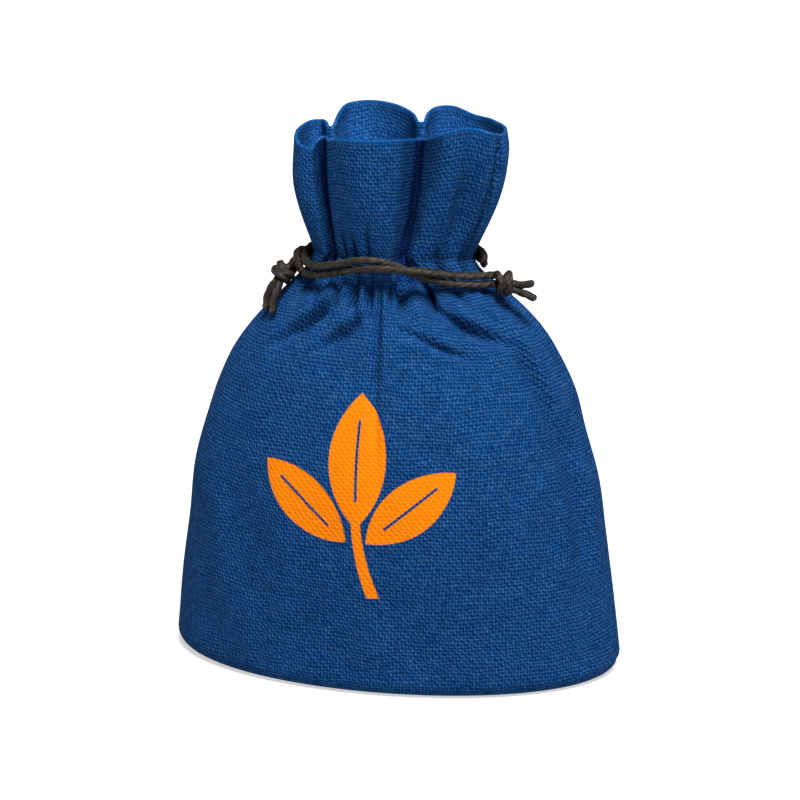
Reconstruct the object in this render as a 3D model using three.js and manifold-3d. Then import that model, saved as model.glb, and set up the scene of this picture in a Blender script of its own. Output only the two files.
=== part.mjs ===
// Dice bag: a pouch of coarse plain-weave cloth, filled out and standing on its base.
// Its neck is gathered by two doubled cords, each tied in a knot at one side of the neck.
// Millimetres. +Z is up, the front faces -Y, and the origin is the middle of the base.
import * as THREE from 'three';
import { mergeVertices } from 'three/addons/utils/BufferGeometryUtils.js';
import Module from 'manifold-3d';

const wasm = await Module();
wasm.setup();

// Driving dimensions
const CLOTH = 1.2; // thickness of the cloth
const SEAM_GAP = 0.3; // clear space between the two panels along their seam
const EDGE_RADIUS = 4; // rounding of the lower edge
const BASE_SPAN = 34; // cloth from the lower edge to the seam under the bag
const BASE_TAPER = 0.07; // share of its width that the base loses towards the seam
const NECK_HEIGHT = 105;
const RIM_HEIGHT = 138;
const GATHER_FOOT = 84; // height where the pull of the gathers begins
const NECK_HALF_WIDTH = 20;
const NECK_HALF_DEPTH = 14.8;
const CORD_DIAMETER = 1.8;
const CORD_GAP = 0.3; // clear space between a cord and its knot
const STRAND_PITCH = 2.16; // distance between the two strands of a doubled cord

// Turns rows of plain numbers into objects with named columns.
function named(columns, rows) {
  return rows.map((row) => Object.fromEntries(columns.map((column, k) => [column, row[k]])));
}

// Sections of the filled body, from the lower edge to the neck. Lean is the rise for each mm of y.
const sections = named(['height', 'halfWidth', 'halfDepth', 'centreX', 'lean'], [
  [EDGE_RADIUS, 57.4, 32.6, 0, 0],
  [20, 55.6, 33.2, -0.2, 0],
  [35, 53.5, 33.6, -0.2, 0],
  [50, 51.5, 33.0, -0.4, 0],
  [62, 48.1, 31.2, -0.4, 0],
  [72, 45.1, 28.9, 0, 0],
  [80, 41.3, 26.2, 0.1, -0.02],
  [87, 36.6, 23.2, 0.5, -0.04],
  [92, 31.9, 20.4, 0.3, -0.06],
  [97, 26.4, 17.6, -0.2, -0.08],
  [101, 22.2, 15.6, -0.6, -0.1],
  [NECK_HEIGHT, NECK_HALF_WIDTH, NECK_HALF_DEPTH, -0.8, -0.12],
]);

// The gathered edge of each panel from the left seam to the right one. A row is one turn of
// the gathers, with its place at the neck and its place and height at the rim.
const gatherColumns = ['neckX', 'neckY', 'rimX', 'rimY', 'rimZ'];
const frontGathers = named(gatherColumns, [
  [-20, 0, -25.6, 0, 135.4],
  [-19.3, -4.2, -24.6, -5.4, 134],
  [-17.4, -7.6, -22.1, -9.6, 132.8],
  [-14.8, -10.2, -18.9, -10.2, 132.2],
  [-12.9, -7.8, -18.5, -6.4, 133],
  [-11.6, -5.4, -17.9, -2.6, 133.6],
  [-11.4, -8.8, -16.3, -6.4, 134],
  [-11.4, -12.1, -14.9, -11.4, 134.8],
  [-8.2, -13.6, -11.4, -15.4, 136],
  [-3.6, -14.6, -5.2, -17.6, 136.6],
  [1, -14.8, 1.6, -17.3, 136.7],
  [4.6, -14.4, 6.2, -14.3, 136.4],
  [5.4, -10.4, 6.6, -8.4, 135.4],
  [5.9, -6.6, 6.3, -2.4, 134.2],
  [6.8, -10.2, 8.6, -7.4, 135.4],
  [7.9, -13.6, 10.9, -12.6, 137.2],
  [11.9, -11.9, 15, -15, 138.7],
  [15, -9.8, 19.4, -14, 139.8],
  [17, -7.8, 21.9, -11.4, 139.4],
  [18.5, -5.6, 25.2, -10.2, 138.4],
  [19.6, -2.9, 27.3, -6.2, 137.2],
  [20, 0, 27.6, -1, 136.8],
]);
const backGathers = named(gatherColumns, [
  [-20, 0, -25.6, 0, 135.4],
  [-19.1, 4.4, -25.6, 5, 133.8],
  [-16.9, 8, -23.6, 9.6, 134],
  [-13.9, 10.7, -20.4, 9.8, 134.8],
  [-11.5, 8.2, -18.7, 6.2, 134.8],
  [-9.6, 5.8, -17.5, 2.6, 135.2],
  [-9.9, 9.4, -16.6, 8, 137.2],
  [-10.2, 12.8, -15, 14.4, 138.6],
  [-6.4, 14.1, -11.3, 17.7, 139.2],
  [-2, 14.8, -4.8, 16.8, 139],
  [2.4, 14.7, 1.2, 11.6, 138.2],
  [4.4, 10.6, 3.8, 6.8, 137.6],
  [5.6, 7, 5.6, 2.6, 137.4],
  [6.5, 10.4, 6.6, 7.6, 138],
  [7.6, 13.8, 7.3, 12.8, 139],
  [11.2, 12.4, 10.8, 16, 138.6],
  [14.8, 10, 16.2, 15.2, 137.2],
  [17.4, 7.3, 22.2, 10.4, 137.2],
  [19.3, 3.9, 26.2, 4.6, 137],
  [20, 0, 27.6, -1, 136.8],
]);

// Troughs in the cloth. Share is the place across the panel at the top, drift how far it has
// moved across at the low end, and reach its half width, all in shares of the panel's width.
const foldColumns = ['share', 'drift', 'top', 'peak', 'low', 'depth', 'reach'];
const frontFolds = named(foldColumns, [
  [0.322, 0, 113, 100, 91, 1.6, 0.02],
  [0.3, -0.085, 98, 91, 80, 1.5, 0.036],
  [0.404, 0, 117, 100, 87, 1.6, 0.02],
  [0.49, 0, 108, 97, 62, 1.2, 0.018],
  [0.583, 0, 106, 98, 86, 1.5, 0.02],
  [0.68, 0, 106, 97, 87, 2, 0.02],
  [0.67, 0.14, 95, 89, 82, 1.4, 0.036],
  [0.81, 0, 118, 105, 92, 1, 0.02],
  [0.868, 0, 90, 60, 16, 1.6, 0.064],
  [0.25, 0, 82, 46, 16, 0.9, 0.08],
]);
const backFolds = named(foldColumns, [
  [0.16, 0, 90, 62, 20, 1.2, 0.07],
  [0.315, 0, 115, 100, 88, 1.5, 0.02],
  [0.405, 0, 112, 99, 84, 1.8, 0.022],
  [0.47, 0.05, 100, 92, 78, 1.2, 0.034],
  [0.54, 0, 114, 100, 86, 1.5, 0.02],
  [0.655, 0, 112, 100, 87, 1.7, 0.02],
  [0.74, 0.06, 97, 90, 74, 1.2, 0.036],
  [0.78, 0, 80, 44, 18, 1.1, 0.07],
]);

const edgeArc = (EDGE_RADIUS * Math.PI) / 2;

// Distance up the cloth from the start of the lower edge, for a height on the wall.
function stationAt(height) {
  return edgeArc + height - EDGE_RADIUS;
}

// Smooth curve through rows of values at rising knots, with finite-difference slopes.
function curveThrough(knots, rows) {
  const last = knots.length - 1;
  const chord = (k, column) => (rows[k + 1][column] - rows[k][column]) / (knots[k + 1] - knots[k]);
  const slope = (k, column) => {
    if (k === 0) return chord(0, column);
    if (k === last) return chord(last - 1, column);
    const before = knots[k] - knots[k - 1];
    const after = knots[k + 1] - knots[k];
    return (chord(k - 1, column) * after + chord(k, column) * before) / (before + after);
  };
  return (at, column) => {
    let k = 0;
    while (k < last - 1 && at > knots[k + 1]) k += 1;
    const span = knots[k + 1] - knots[k];
    const s = THREE.MathUtils.clamp((at - knots[k]) / span, 0, 1);
    const rise = s * s * (3 - 2 * s);
    const start = s * (1 - s) * (1 - s) * span * slope(k, column);
    const end = s * s * (s - 1) * span * slope(k + 1, column);
    return rows[k][column] * (1 - rise) + rows[k + 1][column] * rise + start + end;
  };
}

const section = curveThrough(sections.map((row) => row.height), sections);

// Places of the gathers across the cloth, as shares of the rim's length.
function shareKnots(gathers) {
  const reach = [0];
  for (let k = 1; k < gathers.length; k += 1) {
    const step = Math.hypot(gathers[k].rimX - gathers[k - 1].rimX, gathers[k].rimY - gathers[k - 1].rimY);
    reach.push(reach[k - 1] + step);
  }
  return reach.map((length) => length / reach[reach.length - 1]);
}

// Angle table of a half ellipse by share of its arc, kept for the rows that ask again.
const ARC_STEPS = 360;
const arcTables = new Map();
function arcTable(halfWidth, halfDepth) {
  const key = `${halfWidth} ${halfDepth}`;
  if (!arcTables.has(key)) {
    const lengths = [0];
    for (let k = 1; k <= ARC_STEPS; k += 1) {
      const a = (Math.PI * (k - 1)) / ARC_STEPS;
      const b = (Math.PI * k) / ARC_STEPS;
      const dx = halfWidth * (Math.cos(b) - Math.cos(a));
      const dy = halfDepth * (Math.sin(b) - Math.sin(a));
      lengths.push(lengths[k - 1] + Math.hypot(dx, dy));
    }
    arcTables.set(key, lengths);
  }
  return arcTables.get(key);
}

// Point of a half ellipse at a share of its arc, from its left end over +Y to its right end.
function halfEllipse(halfWidth, halfDepth, share) {
  const lengths = arcTable(halfWidth, halfDepth);
  const goal = share * lengths[ARC_STEPS];
  let k = 1;
  while (k < ARC_STEPS && lengths[k] < goal) k += 1;
  const part = (goal - lengths[k - 1]) / (lengths[k] - lengths[k - 1]);
  const angle = Math.PI - (Math.PI * (k - 1 + part)) / ARC_STEPS;
  return [halfWidth * Math.cos(angle), halfDepth * Math.sin(angle)];
}

// The cloth's outer face before its folds. Side is -1 on the front panel and 1 on the back one.
function smoothPoint(panel, share, station) {
  const { side, gather } = panel;
  const foot = sections[0];
  if (station <= edgeArc) {
    const angle = Math.max(station, 0) / EDGE_RADIUS;
    const flat = 1 + Math.min(station, 0) / BASE_SPAN;
    const inset = EDGE_RADIUS * (1 - Math.sin(angle));
    const halfWidth = (foot.halfWidth - inset) * (1 - BASE_TAPER * (1 - flat));
    const [x, y] = halfEllipse(halfWidth, (foot.halfDepth - inset) * flat, share);
    return new THREE.Vector3(foot.centreX + x, side * y, EDGE_RADIUS * (1 - Math.cos(angle)));
  }
  const height = EDGE_RADIUS + station - edgeArc;
  const neckX = gather(share, 'neckX');
  const neckY = gather(share, 'neckY');
  if (height <= NECK_HEIGHT) {
    const [x, y] = halfEllipse(section(height, 'halfWidth'), section(height, 'halfDepth'), share);
    const [roundX, roundY] = halfEllipse(NECK_HALF_WIDTH, NECK_HALF_DEPTH, share);
    const pull = Math.max(0, (height - GATHER_FOOT) / (NECK_HEIGHT - GATHER_FOOT)) ** 2;
    const atX = x + pull * (neckX - roundX);
    const atY = side * y + pull * (neckY - side * roundY);
    return new THREE.Vector3(section(height, 'centreX') + atX, atY, height + section(height, 'lean') * atY);
  }
  const rise = Math.min(1, (height - NECK_HEIGHT) / (RIM_HEIGHT - NECK_HEIGHT));
  const spread = Math.sin((Math.PI * rise) / 2);
  const neck = sections[sections.length - 1];
  const neckZ = NECK_HEIGHT + neck.lean * neckY;
  return new THREE.Vector3(
    neck.centreX * (1 - rise) + THREE.MathUtils.lerp(neckX, gather(share, 'rimX'), spread),
    THREE.MathUtils.lerp(neckY, gather(share, 'rimY'), spread),
    THREE.MathUtils.lerp(neckZ, gather(share, 'rimZ'), rise),
  );
}

// Direction out of the cloth. At the side seams it lies across the seam, so both panels agree.
const SHARE_STEP = 0.006;
const STATION_STEP = 0.3;
function outward(panel, share, station) {
  const top = stationAt(RIM_HEIGHT);
  const at = (someShare, someStation) => {
    const heldShare = THREE.MathUtils.clamp(someShare, 0, 1);
    return smoothPoint(panel, heldShare, THREE.MathUtils.clamp(someStation, -BASE_SPAN, top));
  };
  const across = at(share + SHARE_STEP, station).sub(at(share - SHARE_STEP, station));
  const up = at(share, station + STATION_STEP).sub(at(share, station - STATION_STEP));
  const normal = across.cross(up).multiplyScalar(-panel.side);
  if (share === 0 || share === 1) normal.y = 0;
  return normal.normalize();
}

// How far the troughs draw the cloth in at a place.
function foldDepth(panel, share, height) {
  let depth = 0;
  for (const fold of panel.folds) {
    const above = (fold.top - height) / (fold.top - fold.peak);
    const below = (height - fold.low) / (fold.peak - fold.low);
    const along = THREE.MathUtils.smoothstep(Math.min(above, below), 0, 1);
    const centre = fold.share + fold.drift * ((fold.top - height) / (fold.top - fold.low));
    const off = THREE.MathUtils.clamp((share - centre) / fold.reach, -1, 1);
    depth += fold.depth * along * (1 - off * off) ** 2;
  }
  return depth;
}

// Shares where the mesh has a column: at each gather and fold, and between them where it is wide.
const NARROWEST_COLUMN = 0.0105;
const WIDEST_COLUMN = 0.034;
const FOLD_FLANK = 0.8; // place of a fold's side columns, as a part of its reach
function columnShares(panel) {
  const kept = [...panel.knots];
  for (const fold of panel.folds) {
    const flank = fold.reach * FOLD_FLANK;
    for (const share of [fold.share, fold.share - flank, fold.share + flank]) {
      if (kept.every((other) => Math.abs(other - share) > NARROWEST_COLUMN)) kept.push(share);
    }
  }
  kept.sort((a, b) => a - b);
  const shares = [0];
  for (let k = 1; k < kept.length; k += 1) {
    const parts = Math.ceil((kept[k] - kept[k - 1]) / WIDEST_COLUMN);
    for (let part = 1; part <= parts; part += 1) {
      shares.push(THREE.MathUtils.lerp(kept[k - 1], kept[k], part / parts));
    }
  }
  return shares;
}

// Stations where the mesh has a row: over the base, round the lower edge, and up to the rim.
const bodyHeights = [18, 36, 52, 63, 72, 79];
const neckHeights = [85, 90, 94, 98, 101.5, NECK_HEIGHT, 108, 112];
const flareHeights = [117, 123, 130, RIM_HEIGHT];
const stations = [
  -BASE_SPAN,
  -BASE_SPAN / 2,
  0,
  edgeArc / 3,
  (2 * edgeArc) / 3,
  edgeArc,
  ...[...bodyHeights, ...neckHeights, ...flareHeights].map(stationAt),
];

// A panel of the cloth, as one closed solid between its outer and its inner face.
function panelGeometry(panel) {
  const shares = columnShares(panel);
  const columns = shares.length;
  const skin = columns * stations.length;
  const positions = new Float32Array(skin * 2 * 3);
  stations.forEach((station, row) => {
    const height = EDGE_RADIUS + station - edgeArc;
    shares.forEach((share, column) => {
      const normal = outward(panel, share, station);
      const outer = smoothPoint(panel, share, station);
      outer.y += (panel.side * SEAM_GAP) / 2;
      outer.addScaledVector(normal, -foldDepth(panel, share, height));
      const index = row * columns + column;
      outer.toArray(positions, index * 3);
      outer.addScaledVector(normal, -CLOTH).toArray(positions, (skin + index) * 3);
    });
  });
  const triangles = [];
  const quad = (a, b, c, d) => {
    if (panel.side < 0) triangles.push(a, b, c, a, c, d);
    else triangles.push(a, c, b, a, d, c);
  };
  const lastRow = (stations.length - 1) * columns;
  for (let column = 0; column < columns - 1; column += 1) {
    quad(column + 1, column, skin + column, skin + column + 1);
    quad(lastRow + column, lastRow + column + 1, skin + lastRow + column + 1, skin + lastRow + column);
    for (let row = 0; row < stations.length - 1; row += 1) {
      const low = row * columns + column;
      const high = low + columns;
      quad(low, low + 1, high + 1, high);
      quad(skin + low + 1, skin + low, skin + high, skin + high + 1);
    }
  }
  for (let row = 0; row < stations.length - 1; row += 1) {
    const left = row * columns;
    const right = left + columns - 1;
    quad(left, left + columns, skin + left + columns, skin + left);
    quad(right + columns, right, skin + right, skin + right + columns);
  }
  const geometry = new THREE.BufferGeometry();
  geometry.setAttribute('position', new THREE.BufferAttribute(positions, 3));
  geometry.setIndex(triangles);
  geometry.computeVertexNormals();
  return geometry;
}

// Doubled cords. A row is a point midway between the two strands, and lay is the angle that
// the pair is turned by there: 0 has the first strand above, 90 has it outside the second.
const pairColumns = ['x', 'y', 'z', 'lay'];
const rightPair = named(pairColumns, [
  [25.2, -6.8, 101.5, 0],
  [21.8, -9.4, 101.8, 0],
  [18.2, -11.9, 102.3, 0],
  [14.4, -14, 103.1, 10],
  [10.4, -15.9, 104.2, 35],
  [6.4, -17.2, 105.3, 75],
  [2.4, -17.8, 106.1, 110],
  [-1.8, -17.7, 106.3, 150],
  [-6, -17, 105.9, 180],
  [-10, -16.3, 104.9, 195],
  [-13.9, -15, 103.8, 190],
  [-17.2, -12.9, 102.8, 180],
]);
const leftPair = named(pairColumns, [
  [-26.2, -4.3, 100.2, 0],
  [-25.6, -0.6, 101.2, 0],
  [-24, 3.4, 102.6, 0],
  [-21.6, 7.2, 103.7, 0],
  [-18.1, 10.8, 104.3, 0],
  [-13.3, 13.8, 104.4, 0],
  [-7.6, 16, 104.4, 10],
  [-1.6, 17.3, 104.4, 50],
  [4.2, 17.6, 104.4, 90],
  [9.4, 15.6, 104.4, 140],
  [13.6, 12.9, 104.4, 180],
  [17, 9.7, 104.3, 180],
  [19.5, 6.3, 104.2, 180],
]);

// The loops in which each doubled cord ends, at the side across from its knot.
const bightColumns = ['x', 'y', 'z'];
const rightBight = named(bightColumns, [
  [-20.4, -10.4, 101.2],
  [-22.7, -7.6, 101.6],
  [-24.2, -4.9, 102.6],
  [-24.9, -2.6, 103.9],
  [-24.3, -0.9, 104.7],
  [-23.1, -1.3, 104.6],
  [-22.6, -3.6, 104],
  [-21.8, -6.3, 103.7],
  [-20.2, -9.6, 103.5],
]);
const leftBight = named(bightColumns, [
  [21, 3.6, 103.3],
  [21.6, 1.5, 103.1],
  [21.9, 0.1, 104],
  [21.7, 0.9, 105.1],
  [20.9, 3.4, 105.3],
]);

// Points of a doubled cord from its knot round its loop and back to the knot.
function drawstringPoints(pair, bight) {
  const first = [];
  const second = [];
  for (const row of pair) {
    const centre = new THREE.Vector3(row.x, row.y, row.z);
    const out = new THREE.Vector3(row.x / NECK_HALF_WIDTH ** 2, row.y / NECK_HALF_DEPTH ** 2, 0).normalize();
    const lay = THREE.MathUtils.degToRad(row.lay);
    const across = new THREE.Vector3(0, 0, Math.cos(lay)).addScaledVector(out, Math.sin(lay));
    first.push(centre.clone().addScaledVector(across, STRAND_PITCH / 2));
    second.unshift(centre.addScaledVector(across, -STRAND_PITCH / 2));
  }
  const loop = bight.map((row) => new THREE.Vector3(row.x, row.y, row.z));
  return [...first, ...loop, ...second];
}

// Section of a cord, an eight-sided one.
const CORD_SIDES = 8;
function cordSection() {
  const corners = [];
  for (let k = 0; k < CORD_SIDES; k += 1) {
    const angle = (2 * Math.PI * k) / CORD_SIDES;
    corners.push(new THREE.Vector2(Math.cos(angle), Math.sin(angle)).multiplyScalar(CORD_DIAMETER / 2));
  }
  return new THREE.Shape(corners);
}

// A length of cord along points.
const ROUTE_DIVISIONS = 600;
function cordGeometry(points, steps) {
  const path = new THREE.CatmullRomCurve3(points, false, 'centripetal');
  path.arcLengthDivisions = ROUTE_DIVISIONS;
  return new THREE.ExtrudeGeometry(cordSection(), { extrudePath: path, steps, curveSegments: 1 });
}

// A closed mesh as a solid that can be joined to others.
const SAME_POINT = 1e-4;
function solidOf(geometry) {
  const bare = geometry.clone();
  bare.deleteAttribute('normal');
  bare.deleteAttribute('uv');
  const merged = mergeVertices(bare, SAME_POINT);
  return new wasm.Manifold(new wasm.Mesh({
    numProp: 3,
    vertProperties: new Float32Array(merged.attributes.position.array),
    triVerts: new Uint32Array(merged.index.array),
  }));
}

// The mesh of joined solids.
function joined(geometries) {
  const solid = geometries.map(solidOf).reduce((whole, piece) => whole.add(piece));
  const { vertProperties, triVerts } = solid.getMesh();
  const geometry = new THREE.BufferGeometry();
  geometry.setAttribute('position', new THREE.BufferAttribute(new Float32Array(vertProperties), 3));
  geometry.setIndex(new THREE.BufferAttribute(new Uint32Array(triVerts), 1));
  geometry.computeVertexNormals();
  return geometry;
}

// Overhand knots. The core is an egg round the two strands, the wraps are rings of the strand
// that turns over it, each about its own axis, and the tails are the cord's free ends.
const rightKnot = {
  centre: [28.2, -6.5, 100.7],
  core: [2.5, 2.1, 2.6],
  wraps: [
    { offset: [-0.3, -0.2, 0.1], radius: 2.1, axis: [0.9, 0.35, 0.3] },
    { offset: [0.9, 0, -0.3], radius: 1.9, axis: [0.85, 0.2, -0.35] },
  ],
  tails: [
    [[28.8, -6.6, 101], [31.4, -6.6, 100.6], [33.5, -6.6, 100.6], [35.3, -6.5, 101.2]],
    [[28.7, -6.7, 99.7], [31.2, -6.9, 99.2], [33.7, -7, 98.4], [36, -7, 97.5]],
  ],
};
const leftKnot = {
  centre: [-27.4, -7, 100.1],
  core: [2.3, 2.3, 2.5],
  wraps: [
    { offset: [0.1, 0, 0.1], radius: 1.9, axis: [-0.35, -0.85, -0.2] },
    { offset: [-0.4, -0.6, -0.6], radius: 1.8, axis: [-0.5, -0.6, -0.6] },
  ],
  tails: [
    [[-27.8, -7.2, 99.4], [-29.2, -8.4, 97.8], [-30.6, -9.2, 95.1], [-31, -9.9, 91.8]],
    [[-27.3, -7.4, 99.2], [-27.8, -9.4, 97.5], [-28.5, -11.1, 94.8], [-28.6, -12.1, 91.5]],
  ],
};
const TAIL_STEPS = 7;
const CORE_SIDES = 14;
const CORE_RINGS = 10;
const WRAP_STEPS = 18;
const upright = new THREE.Vector3(0, 0, 1);

// A knot with the two short stubs that meet the doubled cord face to face.
function knotGeometry(knot, points) {
  const centre = new THREE.Vector3(...knot.centre);
  const core = new THREE.SphereGeometry(1, CORE_SIDES, CORE_RINGS);
  core.scale(...knot.core).translate(...knot.centre);
  const pieces = [core];
  for (const wrap of knot.wraps) {
    const ring = new THREE.TorusGeometry(wrap.radius, CORD_DIAMETER / 2, CORD_SIDES, WRAP_STEPS);
    const axis = new THREE.Vector3(...wrap.axis).normalize();
    const middle = centre.clone().add(new THREE.Vector3(...wrap.offset));
    ring.applyQuaternion(new THREE.Quaternion().setFromUnitVectors(upright, axis));
    ring.translate(...middle.toArray());
    pieces.push(ring);
  }
  for (const tail of knot.tails) {
    pieces.push(cordGeometry(tail.map((point) => new THREE.Vector3(...point)), TAIL_STEPS));
  }
  const last = points.length - 1;
  const ends = [[points[0], points[1]], [points[last], points[last - 1]]];
  for (const [end, next] of ends) {
    const inward = end.clone().sub(next).normalize();
    const face = end.clone().addScaledVector(inward, CORD_GAP);
    pieces.push(cordGeometry([face, face.clone().addScaledVector(inward, CORD_DIAMETER)], 1));
  }
  return joined(pieces);
}

const weave = new THREE.MeshStandardMaterial({ color: 0x1a4a84, roughness: 0.92, metalness: 0 });
const braid = new THREE.MeshStandardMaterial({ color: 0x342e2b, roughness: 0.6, metalness: 0 });

const bag = new THREE.Group();
bag.name = 'dice_bag';

// Adds a piece to the bag under its own name, with a material of its own.
function add(name, geometry, material) {
  const mesh = new THREE.Mesh(geometry, material.clone());
  mesh.name = name;
  bag.add(mesh);
}

const panels = [
  { name: 'front_panel', side: -1, gathers: frontGathers, folds: frontFolds },
  { name: 'back_panel', side: 1, gathers: backGathers, folds: backFolds },
];
for (const panel of panels) {
  panel.knots = shareKnots(panel.gathers);
  panel.gather = curveThrough(panel.knots, panel.gathers);
  add(panel.name, panelGeometry(panel), weave);
}

const CORD_STEPS = 76;
const drawstrings = [
  { side: 'right', pair: rightPair, bight: rightBight, knot: rightKnot },
  { side: 'left', pair: leftPair, bight: leftBight, knot: leftKnot },
];
for (const { side, pair, bight, knot } of drawstrings) {
  const points = drawstringPoints(pair, bight);
  add(`drawstring_${side}`, cordGeometry(points, CORD_STEPS), braid);
  add(`knot_${side}`, knotGeometry(knot, points), braid);
}

export default bag;
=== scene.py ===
"""A dice bag: a drawstring pouch of coarse blue cloth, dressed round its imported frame.

Lengths are metres and angles are degrees. +Z is up and the front of the bag faces -Y. A share is
a place across a panel, from 0 at its left seam to 1 at its right one, and a station is a distance
up the cloth from the start of the rounded lower edge.
"""
import logging
import math
from dataclasses import dataclass, field
from enum import Enum
from typing import Any

import bpy
import numpy as np
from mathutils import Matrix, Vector


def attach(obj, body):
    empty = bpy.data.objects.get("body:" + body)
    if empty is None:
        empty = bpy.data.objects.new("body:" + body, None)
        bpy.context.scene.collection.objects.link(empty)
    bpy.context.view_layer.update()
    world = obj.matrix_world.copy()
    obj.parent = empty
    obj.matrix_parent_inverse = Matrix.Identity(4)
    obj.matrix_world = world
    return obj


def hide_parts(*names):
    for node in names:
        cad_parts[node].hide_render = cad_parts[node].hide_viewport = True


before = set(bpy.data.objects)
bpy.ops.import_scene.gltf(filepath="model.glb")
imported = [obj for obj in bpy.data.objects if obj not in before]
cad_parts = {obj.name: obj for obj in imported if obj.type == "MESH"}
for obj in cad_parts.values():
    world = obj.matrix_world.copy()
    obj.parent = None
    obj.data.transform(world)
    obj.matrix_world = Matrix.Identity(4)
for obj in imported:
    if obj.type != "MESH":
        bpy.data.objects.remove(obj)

LOG = logging.getLogger("dice_bag")
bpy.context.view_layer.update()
BODY = "root"
CORD_LAY = 0.0085


class Slot(Enum):
    """The record's material slots."""

    CLOTH = "cloth"
    CORD = "cord"


class Crease(Enum):
    """How a trough in the cloth is shaped across."""

    SOFT = "a round hollow"
    CRISP = "a narrow fold with a sharp bottom and round shoulders"
    SEWN = "a sewn line, with the turned edge standing up on its right"


@dataclass(frozen=True)
class Section:
    """One level section of the filled body. Lean is the rise for each metre of y."""

    height: float
    half_width: float
    half_depth: float
    centre_x: float
    lean: float


@dataclass(frozen=True)
class Gather:
    """One turn of a gathered edge, with its place at the neck and at the rim."""

    neck_x: float
    neck_y: float
    rim_x: float
    rim_y: float
    rim_z: float


@dataclass(frozen=True)
class Fold:
    """One trough in the cloth.

    Share is its place across the panel at the top, drift how far it has moved across at the low
    end, and reach its half width, all in shares.
    """

    share: float
    drift: float
    top: float
    peak: float
    low: float
    depth: float
    reach: float
    crease: Crease = Crease.SOFT

    def centre(self, height: float) -> float:
        """Its place across the panel at a height."""
        return self.share + self.drift * (self.top - height) / (self.top - self.low)

    def strength(self, height: float) -> float:
        """How strong it is at a height.

        Args:
            height: Height of the row on the smooth form.

        Returns:
            1 at its peak, falling to 0 at its ends.
        """
        above = (self.top - height) / (self.top - self.peak)
        below = (height - self.low) / (self.peak - self.low)
        return float(ease(np.array(min(above, below))))

    def profile(self, share: np.ndarray, height: float) -> np.ndarray:
        """How deep it is across the panel, where 1 is its depth.

        Args:
            share: Shares across the panel.
            height: Height of the row on the smooth form.

        Returns:
            A value for each share.
        """
        off = (share - self.centre(height)) / self.reach
        if self.crease is Crease.SOFT:
            return np.clip(1 - off * off, 0, 1) ** 2
        if self.crease is Crease.CRISP:
            # The bottom is rounded over a twentieth of the reach, so that the mesh can follow it.
            return np.clip(1.06 - np.sqrt(off * off + 0.06 ** 2), 0, 1) ** 2
        # A narrow groove lies to the left of the centre, and the turned edge runs on to the seam.
        turned_edge = ease(off + 0.5) * ease((1 - share) / (2 * self.reach))
        return 1.2 * np.exp(-((2.6 * off + 0.6) ** 2)) - turned_edge


SECTIONS = tuple(Section(*row) for row in (
    (0.004, 0.0574, 0.0326, 0.0, 0.0),
    (0.02, 0.0556, 0.0332, -0.0002, 0.0),
    (0.035, 0.0535, 0.0336, -0.0002, 0.0),
    (0.05, 0.0515, 0.033, -0.0004, 0.0),
    (0.062, 0.0481, 0.0312, -0.0004, 0.0),
    (0.072, 0.0451, 0.0289, 0.0, 0.0),
    (0.08, 0.0413, 0.0262, 0.0001, -0.02),
    (0.087, 0.0366, 0.0232, 0.0005, -0.04),
    (0.092, 0.0319, 0.0204, 0.0003, -0.06),
    (0.097, 0.0264, 0.0176, -0.0002, -0.08),
    (0.101, 0.0222, 0.0156, -0.0006, -0.1),
    (0.105, 0.02, 0.0148, -0.0008, -0.12),
))

FRONT_GATHERS = tuple(Gather(*row) for row in (
    (-0.02, 0.0, -0.0256, 0.0, 0.1346),
    (-0.0193, -0.0042, -0.0246, -0.0054, 0.1338),
    (-0.0174, -0.0076, -0.0221, -0.0096, 0.1328),
    (-0.0148, -0.0102, -0.0189, -0.0102, 0.1322),
    (-0.0129, -0.0078, -0.0185, -0.0064, 0.133),
    (-0.0116, -0.0054, -0.0179, -0.0026, 0.1336),
    (-0.0114, -0.0088, -0.0163, -0.0064, 0.134),
    (-0.0114, -0.0121, -0.0149, -0.0114, 0.1348),
    (-0.0082, -0.0136, -0.0114, -0.0154, 0.136),
    (-0.0042, -0.0146, -0.0056, -0.0176, 0.1366),
    (-0.0005, -0.0149, 0.0004, -0.0174, 0.1367),
    (0.0026, -0.0147, 0.0048, -0.0147, 0.1364),
    (0.0036, -0.0106, 0.0058, -0.0086, 0.1354),
    (0.0046, -0.0066, 0.0066, -0.0024, 0.1342),
    (0.006, -0.0098, 0.0094, -0.0066, 0.1354),
    (0.0078, -0.0134, 0.0122, -0.0122, 0.1372),
    (0.0119, -0.0119, 0.015, -0.015, 0.1387),
    (0.015, -0.0098, 0.0194, -0.014, 0.1398),
    (0.017, -0.0078, 0.0219, -0.0114, 0.1394),
    (0.0185, -0.0056, 0.0252, -0.0102, 0.1384),
    (0.0196, -0.0029, 0.0273, -0.0062, 0.1372),
    (0.02, 0.0, 0.0276, -0.001, 0.1368),
))
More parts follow.
